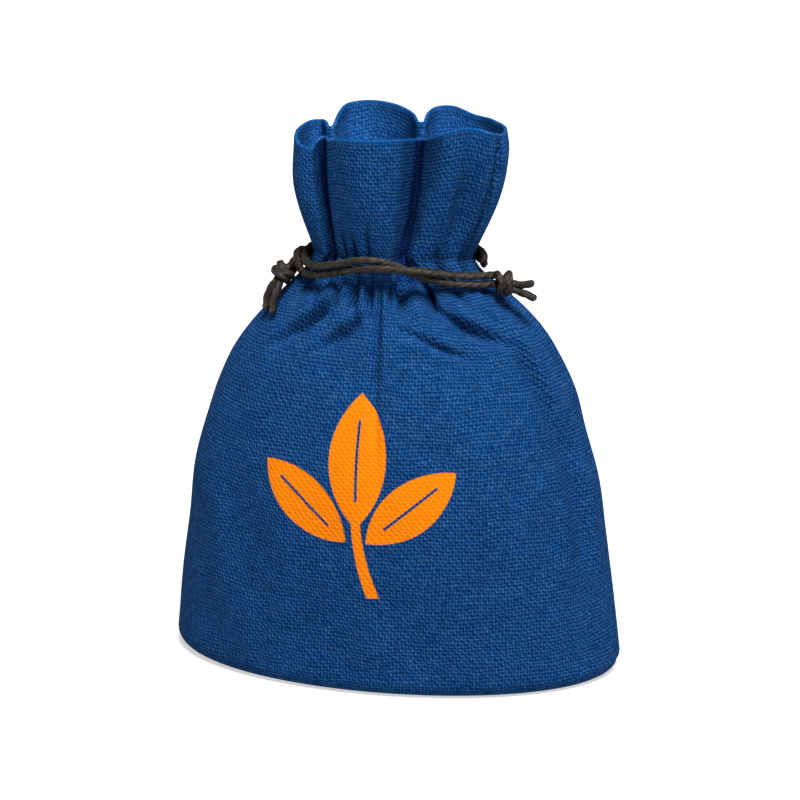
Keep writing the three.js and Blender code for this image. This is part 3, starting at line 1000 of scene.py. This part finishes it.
@dataclass(frozen=True)
class Sprig:
    """A generic three-leaf sprig, printed in one colour."""

    across: float
    down: float
    leaves: tuple[Leaf, ...] = (
        Leaf(0.0, 0.0092, 0.0168, 0.0072, 0),
        Leaf(-0.0134, -0.0022, 0.0142, 0.0062, 50),
        Leaf(0.0134, -0.0022, 0.0142, 0.0062, -50),
    )
    stem_top: float = -0.004
    stem_foot: float = -0.0255
    stem_half: float = 0.0011
    stem_bow: float = 9.0
    stem_taper: float = 0.02
    rib_share: float = 0.6
    soft: float = 0.00016

    def cover(self, graph: Graph, u: Term, v: Term) -> Term:
        """How much of the cloth is printed at a place.

        Args:
            graph: The cloth's graph.
            u: Place across the flat cloth.
            v: Place down the flat cloth.

        Returns:
            A term, 1 on the print and 0 beside it.
        """
        x = u - self.across
        y = self.down - v
        below = y - self.stem_top
        half_stem = (self.stem_top - self.stem_foot) / 2
        inside = abs(x - below * below * self.stem_bow) - self.stem_half + below * self.stem_taper
        inside = inside.most(abs(below + half_stem) - half_stem)
        for leaf in self.leaves:
            lean = math.radians(leaf.lean)
            dx, dy = x - leaf.x, y - leaf.y
            side = dx * math.cos(lean) + dy * math.sin(lean)
            along = dy * math.cos(lean) - dx * math.sin(lean)
            radius = (leaf.half_length ** 2 + leaf.half_width ** 2) / (2 * leaf.half_width)
            offset = radius - leaf.half_width
            oval = (abs(side) + offset).distance(along) - radius
            rib = (leaf.rib - abs(side)).least(leaf.half_length * self.rib_share - abs(along))
            inside = inside.least(oval.most(rib))
        return 1 - inside.between(-self.soft, self.soft)


@dataclass(frozen=True)
class Ground:
    """Terms of the cloth at a place.

    Over is which thread lies on top, crown how high that one is, and slub and fuzz how uneven.
    Hem and inside say where the place is, and groove, stitch and turned describe a sewn edge.
    """

    over: Term
    crown: Term
    slub: Term
    fuzz: Term
    hem: Term
    inside: Term
    groove: Term
    stitch: Term
    turned: Term


@dataclass(frozen=True)
class Weave:
    """Coarse plain-weave cloth of slubbed thread, dyed blue, with or without a print.

    Hollow, thread and crest are its colours by height: hollow the dark gaps of the open weave with
    painted shade where the threads sink, and crest a painted highlight on their tops. Shaded is
    the tint of the painted shade in the deepest fold. A gain or loss is a share of the tone, and a
    wear of the relief.
    """

    name: str
    warp_pitch: float = 0.00078
    weft_pitch: float = 0.00092
    waver: float = 0.75
    crossing: float = 0.3
    dip: float = 0.24
    raised_warp: float = 0.5
    relief: float = 0.00019
    hollow: tuple[int, int, int] = (0, 16, 58)
    thread: tuple[int, int, int] = (8, 50, 93)
    crest: tuple[int, int, int] = (46, 72, 103)
    ink: tuple[int, int, int] = (196, 103, 4)
    ink_hollow: tuple[int, int, int] = (172, 82, 2)
    ink_wear: float = 0.6
    shaded: tuple[float, float, float, float] = (0.22, 0.2, 0.5, 1.0)
    deepest: float = 2.0
    hem_width: float = 0.0018
    hem_height: float = 0.8
    hem_painted_shade: float = 0.22
    inner_light: float = 0.55
    inner_painted_light_gain: float = 1.2
    inner_wear: float = 0.7
    stitch_pitch: float = 0.0024
    stitch_bow: float = 0.0004
    groove_half: float = 0.0005
    groove_loss: float = 0.3
    turned_gain: float = 0.25
    turned_wear: float = 0.35
    rim_light_span: tuple[float, float] = (0.012, 0.045)
    rim_light_gain: float = 0.12
    roughness: float = 0.95
    gloss: float = 0.02

    def ground(self, graph: Graph, u: Term, v: Term) -> Ground:
        """Weaves and sews the cloth.

        Args:
            graph: The cloth's graph.
            u: Place across the flat cloth.
            v: Place down the flat cloth.

        Returns:
            The terms of the cloth.
        """
        # Each thread wanders a little, and whole patches of the weave drift.
        drift = graph.noise(u / 0.012 + 7, v / 0.012, 2.0)
        warp_waver = graph.noise(u / 0.0013, v / 0.005, 2.0) * self.waver
        weft_waver = graph.noise(u / 0.005 + 40, v / 0.0013, 2.0) * self.waver
        x = (u / self.warp_pitch + warp_waver + drift * 2.2) * math.pi
        y = (v / self.weft_pitch + weft_waver - drift * 1.8) * math.pi
        sine_x, sine_y = x.sine(), y.sine()
        # The threads go over and under, and one diagonal of their crossings stands out.
        diagonal = (x - y + math.pi / 2).sine()
        over = sine_x * sine_y * self.crossing + diagonal * (1 - self.crossing)
        warp = graph.maths("POWER", abs(sine_x), 0.5) * (over * self.dip + (1 - self.dip))
        weft = graph.maths("POWER", abs(sine_y), 0.5) * ((1 - self.dip) - over * self.dip)
        past = graph.attribute("past")
        wave = (v / self.stitch_pitch * math.pi).sine()
        stitch = wave * wave
        off_groove = abs(past + (stitch - 0.5) * self.stitch_bow)
        return Ground(
            over=over,
            crown=warp.most(weft),
            slub=graph.noise(u / 0.0008 + 90, v / 0.003) + graph.noise(u / 0.003, v / 0.0008 + 60),
            fuzz=graph.noise(u / 0.0003, v / 0.0003, 2.0, 0.7),
            hem=1 - v.between(0.0002, self.hem_width),
            inside=graph.attribute("inside"),
            groove=1 - off_groove.between(0.0, self.groove_half),
            stitch=stitch,
            turned=past.between(0.0003, 0.0009),
        )

    def tints(self, graph: Graph, at: Ground, u: Term, v: Term) -> bpy.types.NodeSocket:
        """Works out how light the dyed cloth is, with painted light inside the bag and towards the
        rim, and painted shade on the hem.

        Args:
            graph: The cloth's graph.
            at: The terms of the cloth.
            u: Place across the flat cloth.
            v: Place down the flat cloth.

        Returns:
            The share of each colour that is left, as a colour.
        """
        blotch = graph.noise(u / 0.008 + 13, v / 0.008, 3.0)
        dye = graph.noise(u / 0.0035 + 21, v / 0.0035, 2.0)
        # Painted light: the outer cloth is painted lighter towards the rim, on the mouth's flare.
        painted_rim_light = (1 - v.between(*self.rim_light_span)) * (1 - at.inside)
        sewn = 1 - at.groove * (1 + at.stitch) * self.groove_loss
        shade = 1 + blotch * 0.36 + at.slub * 0.2 + at.over * 0.12
        # Painted light: the inner face of the cloth is painted lighter.
        shade = shade * (1 + at.inside * self.inner_painted_light_gain) * (1 + painted_rim_light * self.rim_light_gain)
        # Painted shade: the hem along the rim is painted darker.
        shade = shade * (1 + at.turned * self.turned_gain) * sewn * (1 - at.hem * self.hem_painted_shade)
        red, blue = shade * (1 + dye * 0.5), shade * (1 - dye * 0.25)
        channels = {"Red": red, "Green": shade, "Blue": blue}
        return graph.node("ShaderNodeCombineColor", {}, channels).outputs["Color"]

    def material(self, sprig: Sprig | None) -> bpy.types.Material:
        """Makes the finish.

        Args:
            sprig: The print, or None on plain cloth.

        Returns:
            The material.
        """
        graph = Graph(self.name)
        u, v = graph.uv("cut")
        at = self.ground(graph, u, v)
        weave = at.crown + at.slub * 0.25 + at.fuzz * 0.3
        height = weave * (1 - at.hem) + at.hem * self.hem_height
        # The colour runs by relief height from the hollow colour to the thread colour, painted shade
        # where the threads sink; inside the bag the gaps are painted lighter.
        light = height.between(0.15, 0.95).most(at.inside * self.inner_light)
        # Crest is a painted highlight on the tops of the threads.
        crest = (at.crown + at.slub * 0.2 + at.fuzz * 0.5).between(0.78, 1.12)
        cloth = graph.mix(light, tone(*self.hollow), tone(*self.thread))
        cloth = graph.mix(crest, cloth, tone(*self.crest))
        cloth = graph.mix(1.0, cloth, self.tints(graph, at, u, v), "MULTIPLY")
        # Painted shade: the colour is darkened and tinted blue in folds and gather troughs, by the
        # mesh's hollow value.
        fold = graph.attribute("hollow").between(0.15, self.deepest)
        cloth = graph.mix(fold, cloth, self.shaded, "MULTIPLY")
        relief = height + at.over * (1 - at.hem) * self.raised_warp
        relief = relief * (1 - at.inside * self.inner_wear) * (1 - at.turned * self.turned_wear)
        relief = relief - at.groove * (0.3 + at.stitch * 0.5)
        if sprig:
            cover = sprig.cover(graph, u, v)
            # The print takes the same painted shade between the threads, from its darker ink tone.
            ink = graph.mix(light, tone(*self.ink_hollow), tone(*self.ink))
            cloth = graph.mix(cover * (light * 0.15 + 0.88), cloth, ink)
            relief = relief * (1 - cover * self.ink_wear)
        constants = {"Sheen Weight": 0.0, "Specular IOR Level": self.gloss}
        graph.finish(cloth, self.roughness, relief, self.relief, constants)
        return graph.material


@dataclass(frozen=True)
class WaxedTwist:
    """Dark brown waxed cord, whose fibres run round it in a long twist."""

    name: str = "waxed_twist"
    dark: tuple[int, int, int] = (9, 7, 6)
    pale: tuple[int, int, int] = (53, 43, 35)
    lay: float = CORD_LAY
    gloss: float = 0.22
    relief: float = 0.0002

    def material(self) -> bpy.types.Material:
        """Makes the finish.

        Returns:
            The material.
        """
        graph = Graph(self.name)
        around, along = graph.uv("run")
        turned = around + along / self.lay
        fibre = graph.noise(turned * 15, along / 0.0032, 2.0, 0.6)
        fine = graph.noise(turned * 40 + 9, along / 0.0011, 1.0)
        wear = graph.noise(around * 2 + 5, along / 0.004, 2.0)
        light = (fibre * 1.8 + fine * 1.3 + wear * 0.8 + 0.3).between(0.0, 1.0)
        colour = graph.mix(light, tone(*self.dark), tone(*self.pale))
        height = fibre * 1.2 + fine * 0.6 + 0.5
        graph.finish(colour, 0.5 - wear * 0.3, height, self.relief, {"Specular IOR Level": self.gloss})
        return graph.material


def smooth_path(points: np.ndarray, step: float, cuts: int = 100) -> np.ndarray:
    """Runs a centripetal Catmull-Rom curve through points, as the part's source does.

    Args:
        points: The points, one for each line.
        step: Distance between the points given back.
        cuts: How many places are worked out between two points.

    Returns:
        Points at even distances along the curve.
    """
    held = np.vstack([2 * points[0] - points[1], points, 2 * points[-1] - points[-2]])
    s = np.linspace(0, 1, cuts, endpoint=False)[:, None]
    run = []
    for a, b, c, d in zip(held, held[1:], held[2:], held[3:]):
        before, span, after = (math.sqrt(np.linalg.norm(end)) for end in (b - a, c - b, d - c))
        leave = ((b - a) / before - (c - a) / (before + span) + (c - b) / span) * span
        meet = ((c - b) / span - (d - b) / (span + after) + (d - c) / after) * span
        rise = s * s * (3 - 2 * s)
        run.append(b * (1 - rise) + c * rise + leave * s * (1 - s) ** 2 + meet * s * s * (s - 1))
    fine = np.vstack([*run, points[-1:]])
    reach = reaches(fine)
    even = np.linspace(0, reach[-1], max(3, round(reach[-1] / step) + 1))
    return np.stack([np.interp(even, reach, fine[:, axis]) for axis in range(3)], 1)


@dataclass
class Tubing:
    """Meshes of cord, with the relief of its twisted strands."""

    radius: float = 0.0009
    sides: int = 24
    step: float = 0.00022
    strands: int = 3
    lay: float = CORD_LAY
    relief: float = 0.00011

    def frames(self, path: np.ndarray) -> tuple[np.ndarray, np.ndarray]:
        """Carries two directions across a path without twist.

        Args:
            path: Points along the middle of the cord.

        Returns:
            The two directions at each point.
        """
        along = np.gradient(path, axis=0)
        along /= np.linalg.norm(along, axis=1)[:, None]
        first = np.zeros_like(path)
        seed = np.cross(along[0], (0.3, 0.2, 1.0))
        first[0] = seed / np.linalg.norm(seed)
        for k in range(1, len(path)):
            carried = first[k - 1] - along[k] * np.dot(first[k - 1], along[k])
            first[k] = carried / np.linalg.norm(carried)
        return first, np.cross(along, first)

    def tube(self, path: np.ndarray, close: tuple[bool, bool]) -> tuple[np.ndarray, list, np.ndarray]:
        """Makes one length of cord.

        Args:
            path: Points along its middle, a step apart.
            close: Whether each end is rounded, rather than cut flat.

        Returns:
            Its points, its faces, and the place round and along the cord of each point.
        """
        first, second = self.frames(path)
        reach = reaches(path)
        swell = np.ones(len(path))
        for rounded, off in zip(close, (reach, reach[-1] - reach)):
            if rounded:
                part = np.clip(1 - off / self.radius, 0, 1)
                swell = np.minimum(swell, np.sqrt(np.clip(1 - part ** 2, 0.02, 1)))
        angle = np.linspace(0, 2 * math.pi, self.sides, endpoint=False)
        turn, run = angle[None, :], (2 * math.pi * reach / self.lay)[:, None]
        twist = np.abs(np.sin(self.strands / 2 * (turn + run)))
        radius = (self.radius + self.relief * (2 * twist - 1))[:, :, None] * swell[:, None, None]
        ring = first[:, None] * np.cos(angle)[:, None] + second[:, None] * np.sin(angle)[:, None]
        points = (path[:, None] + ring * radius).reshape(-1, 3)
        places = np.stack(np.broadcast_arrays(turn / (2 * math.pi), reach[:, None]), 2).reshape(-1, 2)
        index = np.arange(len(path) * self.sides).reshape(len(path), self.sides)
        beside = np.roll(index, -1, axis=1)
        sides = np.stack([index[:-1], beside[:-1], beside[1:], index[1:]], 2).reshape(-1, 4)
        faces = [*sides.tolist(), index[0][::-1].tolist(), index[-1].tolist()]
        return points, faces, places

    def piece(self, name: str, tubes: list[tuple[np.ndarray, list, np.ndarray]]) -> bpy.types.Object:
        """Joins lengths of cord into one piece.

        Args:
            name: The piece's name.
            tubes: The lengths, as tube makes them.

        Returns:
            The piece.
        """
        points, faces, places, count = [], [], [], 0
        for tube_points, tube_faces, tube_places in tubes:
            faces += [[corner + count for corner in face] for face in tube_faces]
            points.append(tube_points)
            places.append(tube_places)
            count += len(tube_points)
        mesh, corners = smooth_mesh(name, np.vstack(points), faces)
        flat = np.vstack(places)[corners].astype(np.float32)
        sizes = [len(face) for face in faces]
        on_side = np.repeat(sizes, sizes) == 4
        # Corners 1 and 2 of a side face lie in the next column, which after a turn is the first.
        ahead = np.arange(len(corners)) % 4 % 3 != 0
        flat[on_side & ahead & (corners % self.sides == 0), 0] += 1
        return shown(mesh, "run", flat)


@dataclass(frozen=True)
class Pair:
    """A place midway between the strands of a doubled cord, and the angle the pair lies at."""

    x: float
    y: float
    z: float
    lay: float


RIGHT_PAIR = tuple(Pair(*row) for row in (
    (0.0252, -0.0068, 0.1015, 0),
    (0.0218, -0.0094, 0.1018, 0),
    (0.0182, -0.0119, 0.1023, 0),
    (0.0144, -0.014, 0.1031, 10),
    (0.0104, -0.0159, 0.1042, 35),
    (0.0064, -0.0172, 0.1053, 75),
    (0.0024, -0.0178, 0.1061, 110),
    (-0.0018, -0.0177, 0.1063, 150),
    (-0.006, -0.017, 0.1059, 180),
    (-0.01, -0.0163, 0.1049, 195),
    (-0.0139, -0.015, 0.1038, 190),
    (-0.0172, -0.0129, 0.1028, 180),
))
LEFT_PAIR = tuple(Pair(*row) for row in (
    (-0.0262, -0.0043, 0.1002, 0),
    (-0.0256, -0.0006, 0.1012, 0),
    (-0.024, 0.0034, 0.1026, 0),
    (-0.0216, 0.0072, 0.1037, 0),
    (-0.0181, 0.0108, 0.1043, 0),
    (-0.0133, 0.0138, 0.1044, 0),
    (-0.0076, 0.016, 0.1044, 10),
    (-0.0016, 0.0173, 0.1044, 50),
    (0.0042, 0.0176, 0.1044, 90),
    (0.0094, 0.0156, 0.1044, 140),
    (0.0136, 0.0129, 0.1044, 180),
    (0.017, 0.0097, 0.1043, 180),
    (0.0195, 0.0063, 0.1042, 180),
))
RIGHT_BIGHT = (
    (-0.0204, -0.0104, 0.1012),
    (-0.0227, -0.0076, 0.1016),
    (-0.0242, -0.0049, 0.1026),
    (-0.0249, -0.0026, 0.1039),
    (-0.0243, -0.0009, 0.1047),
    (-0.0231, -0.0013, 0.1046),
    (-0.0226, -0.0036, 0.104),
    (-0.0218, -0.0063, 0.1037),
    (-0.0202, -0.0096, 0.1035),
)
LEFT_BIGHT = (
    (0.021, 0.0036, 0.1033),
    (0.0216, 0.0015, 0.1031),
    (0.0219, 0.0001, 0.104),
    (0.0217, 0.0009, 0.1051),
    (0.0209, 0.0034, 0.1053),
)


@dataclass
class Drawstring:
    """A doubled cord round the neck, from its knot to the loop it ends in and back."""

    name: str
    node: str
    pair: tuple[Pair, ...]
    bight: tuple[tuple[float, float, float], ...]
    tubing: Tubing = field(default_factory=Tubing)
    pouch: Pouch = field(default_factory=Pouch)
    pitch: float = 0.00216
    exit_row: int = 2

    def route(self) -> np.ndarray:
        """Lists the points that the cord follows.

        Returns:
            The first strand's points, the loop's and the second strand's.
        """
        first, second = [], []
        width, depth = self.pouch.neck_half_width, self.pouch.neck_half_depth
        for row in self.pair:
            out = np.array([row.x / width ** 2, row.y / depth ** 2, 0])
            out /= np.linalg.norm(out)
            lay = math.radians(row.lay)
            across = np.array([0, 0, math.cos(lay)]) + out * math.sin(lay)
            centre = np.array([row.x, row.y, row.z])
            first.append(centre + across * self.pitch / 2)
            second.insert(0, centre - across * self.pitch / 2)
        return np.array([*first, *self.bight, *second])

    def dress(self, material: bpy.types.Material, knot: bpy.types.Object) -> None:
        """Args:
            material: The finish of the cord.
            knot: The knot on its ends. It is not used.
        """
        path = smooth_path(self.route(), self.tubing.step)
        piece = self.tubing.piece(self.name, [self.tubing.tube(path, (False, False))])
        declare(piece, material, self.node)


@dataclass(frozen=True)
class Wrap:
    """A turn of cord round a knot.

    Start and sweep are in degrees. Over tuck degrees each end goes in to the tucked share of the
    radius.
    """

    middle: tuple[float, float, float]
    radius: float
    axis: tuple[float, float, float]
    start: float
    sweep: float
    advance: float = 0.0006
    tuck: float = 50.0
    tucked: float = 0.45
    turn_step: float = 12.0

    def path(self) -> np.ndarray:
        """Winds the wrap, whose ends go in under it.

        Returns:
            Points along the middle of its cord.
        """
        axis = np.array(self.axis) / np.linalg.norm(self.axis)
        first = np.cross(axis, (0.0, 0.0, 1.0))
        first /= np.linalg.norm(first)
        second = np.cross(axis, first)
        turn = np.radians(np.arange(0, self.sweep + 1, self.turn_step))
        inward = np.minimum(turn, turn[-1] - turn) / math.radians(self.tuck)
        radius = self.radius * (self.tucked + (1 - self.tucked) * ease(inward))
        angle = turn + math.radians(self.start)
        ring = np.outer(radius * np.cos(angle), first) + np.outer(radius * np.sin(angle), second)
        rise = (turn / turn[-1] - 0.5) * self.advance
        return np.array(self.middle) + ring + np.outer(rise, axis)


@dataclass
class Knot:
    """The knot of a doubled cord: two strands through it to their free ends, and its wraps."""

    name: str
    node: str
    strands: tuple[tuple[tuple[float, float, float], ...], ...]
    wraps: tuple[Wrap, ...]
    tubing: Tubing = field(default_factory=Tubing)

    def dress(self, material: bpy.types.Material) -> bpy.types.Object:
        """Builds the knot and gives it its finish.

        Args:
            material: The finish of the cord.

        Returns:
            The knot's object.
        """
        runs = [(np.array(strand), (False, True)) for strand in self.strands]
        runs += [(wrap.path(), (True, True)) for wrap in self.wraps]
        tubes = [self.tubing.tube(smooth_path(run, self.tubing.step), close) for run, close in runs]
        piece = self.tubing.piece(self.name, tubes)
        declare(piece, material, self.node)
        LOG.info("%s: %d lengths of cord", self.name, len(tubes))
        return piece


@dataclass(frozen=True)
class Studio:
    """The camera, the floor and the light."""

    azimuth: float = 13.0
    elevation: float = 17.0
    distance: float = 0.83
    aim_height: float = 0.07
    lens: float = 149.4
    sensor: float = 36.0
    shift_x: float = 3 / 800
    shift_y: float = -11.6 / 800
    floor_half: float = 6.0
    world_light: float = 0.22
    floor_grey: float = 0.26
    floor_glow: float = 0.58
    sun_light: float = 9.6
    sun_from: tuple[float, float, float] = (0.24, -0.4, 1.06)
    sun_spread: float = 28.0

    def camera(self) -> None:
        """Places the camera at the photograph's angle."""
        a, e = math.radians(self.azimuth), math.radians(self.elevation)
        forward = Vector((-math.sin(a) * math.cos(e), math.cos(a) * math.cos(e), -math.sin(e)))
        data = bpy.data.cameras.new("camera")
        data.lens, data.sensor_width = self.lens, self.sensor
        data.shift_x, data.shift_y = self.shift_x, self.shift_y
        data.clip_start, data.clip_end = 0.05, 50
        camera = bpy.data.objects.new("camera", data)
        camera.location = Vector((0, 0, self.aim_height)) - forward * self.distance
        camera.rotation_euler = forward.to_track_quat("-Z", "Y").to_euler()
        bpy.context.scene.collection.objects.link(camera)
        bpy.context.scene.camera = camera
        LOG.info("camera: %.0f degrees round, %.0f degrees up", self.azimuth, self.elevation)

    def floor(self) -> None:
        """Lays the plain pale floor."""
        bpy.ops.mesh.primitive_plane_add(size=2 * self.floor_half, location=(0, 0, 0))
        floor = bpy.context.active_object
        floor.name = "floor"
        graph = Graph("pale_floor")
        surface = graph.node(
            "ShaderNodeBsdfPrincipled", {},
            {
                "Base Color": (*(self.floor_grey,) * 3, 1),
                "Roughness": 1.0,
                "Specular IOR Level": 0.0,
                "Emission Color": (1, 1, 1, 1),
                "Emission Strength": self.floor_glow,
            },
        )
        graph.node("ShaderNodeOutputMaterial", {}, {"Surface": surface.outputs["BSDF"]})
        floor.data.materials.append(graph.material)
        LOG.info("floor: plain")

    def lights(self) -> None:
        """Sets an even white surround and one broad soft light from above and the right front."""
        world = bpy.data.worlds.new("surround")
        world.use_nodes = True
        surround = world.node_tree.nodes["Background"]
        surround.inputs["Color"].default_value = (1.0, 1.0, 1.0, 1.0)
        surround.inputs["Strength"].default_value = self.world_light
        bpy.context.scene.world = world
        data = bpy.data.lights.new("key", "SUN")
        data.energy, data.angle = self.sun_light, math.radians(self.sun_spread)
        key = bpy.data.objects.new("key", data)
        key.rotation_euler = Vector(self.sun_from).to_track_quat("Z", "Y").to_euler()
        bpy.context.scene.collection.objects.link(key)
        bpy.context.scene.view_settings.view_transform = "Standard"
        LOG.info("lights: surround and key")


RIGHT_KNOT = Knot(
    "right_knot", "knot_right",
    strands=(
        (
            (0.0252, -0.0068, 0.10258), (0.0264, -0.006, 0.1024), (0.0276, -0.0062, 0.1017),
            (0.0288, -0.0066, 0.101), (0.0302, -0.0067, 0.1008), (0.0314, -0.0066, 0.1006),
            (0.0335, -0.0066, 0.1006), (0.0353, -0.0065, 0.1012), (0.0358, -0.0065, 0.1014),
        ),
        (
            (0.0252, -0.0068, 0.10042), (0.0264, -0.0062, 0.1002), (0.0276, -0.0065, 0.0999),
            (0.0287, -0.0067, 0.0997), (0.0299, -0.0069, 0.0995), (0.0312, -0.0069, 0.0992),
            (0.0337, -0.007, 0.0984), (0.036, -0.007, 0.0975), (0.0365, -0.007, 0.0973),
        ),
    ),
    wraps=(
        Wrap((0.0277, -0.0066, 0.101), 0.0022, (0.8, 0.3, 0.5), 60, 430),
        Wrap((0.0284, -0.0066, 0.1009), 0.0023, (0.8, 0.1, -0.55), 200, 430),
        Wrap((0.0292, -0.0067, 0.1004), 0.0021, (0.95, 0.3, -0.1), 30, 430),
    ),
)
LEFT_KNOT = Knot(
    "left_knot", "knot_left",
    strands=(
        (
            (-0.0262, -0.0043, 0.10128), (-0.0264, -0.0054, 0.1013), (-0.0269, -0.0064, 0.1005),
            (-0.0278, -0.0072, 0.0994), (-0.0292, -0.0084, 0.0978), (-0.0306, -0.0092, 0.0951),
            (-0.031, -0.0099, 0.0918), (-0.0311, -0.0101, 0.0912),
        ),
        (
            (-0.0262, -0.0043, 0.09912), (-0.0263, -0.0053, 0.0992), (-0.0267, -0.0064, 0.0994),
            (-0.0273, -0.0074, 0.0992), (-0.0278, -0.0094, 0.0975), (-0.0285, -0.0111, 0.0948),
            (-0.0286, -0.0121, 0.0915), (-0.0286, -0.0123, 0.0909),
        ),
    ),
    wraps=(
        Wrap((-0.0268, -0.0068, 0.1008), 0.002, (-0.75, -0.2, -0.6), 80, 430),
        Wrap((-0.0272, -0.0071, 0.1002), 0.0022, (-0.2, -0.5, -0.85), 200, 430),
        Wrap((-0.0277, -0.0074, 0.0996), 0.002, (-0.6, -0.45, -0.65), 320, 430),
    ),
)


def main() -> None:
    """Builds the camera, the cords, the cloth and the stage."""
    logging.basicConfig(level=logging.INFO, format="%(message)s")
    studio = Studio()
    studio.camera()
    waxed = WaxedTwist().material()
    for side, pair, bight, knot in (
        ("right", RIGHT_PAIR, RIGHT_BIGHT, RIGHT_KNOT),
        ("left", LEFT_PAIR, LEFT_BIGHT, LEFT_KNOT),
    ):
        tied = knot.dress(waxed)
        Drawstring(f"{side}_cord", f"drawstring_{side}", pair, bight).dress(waxed, tied)
    front = Panel("front_cloth", "front_panel", -1, FRONT_GATHERS, FRONT_FOLDS, seed=11)
    back = Panel("back_cloth", "back_panel", 1, BACK_GATHERS, BACK_FOLDS, seed=12)
    across, down = front.flat_place(share=0.482, height=0.0515)
    front.dress(Weave("printed_weave").material(Sprig(across, down)))
    back.dress(Weave("plain_weave").material(None))
    studio.floor()
    studio.lights()


if __name__ == "__main__":
    main()
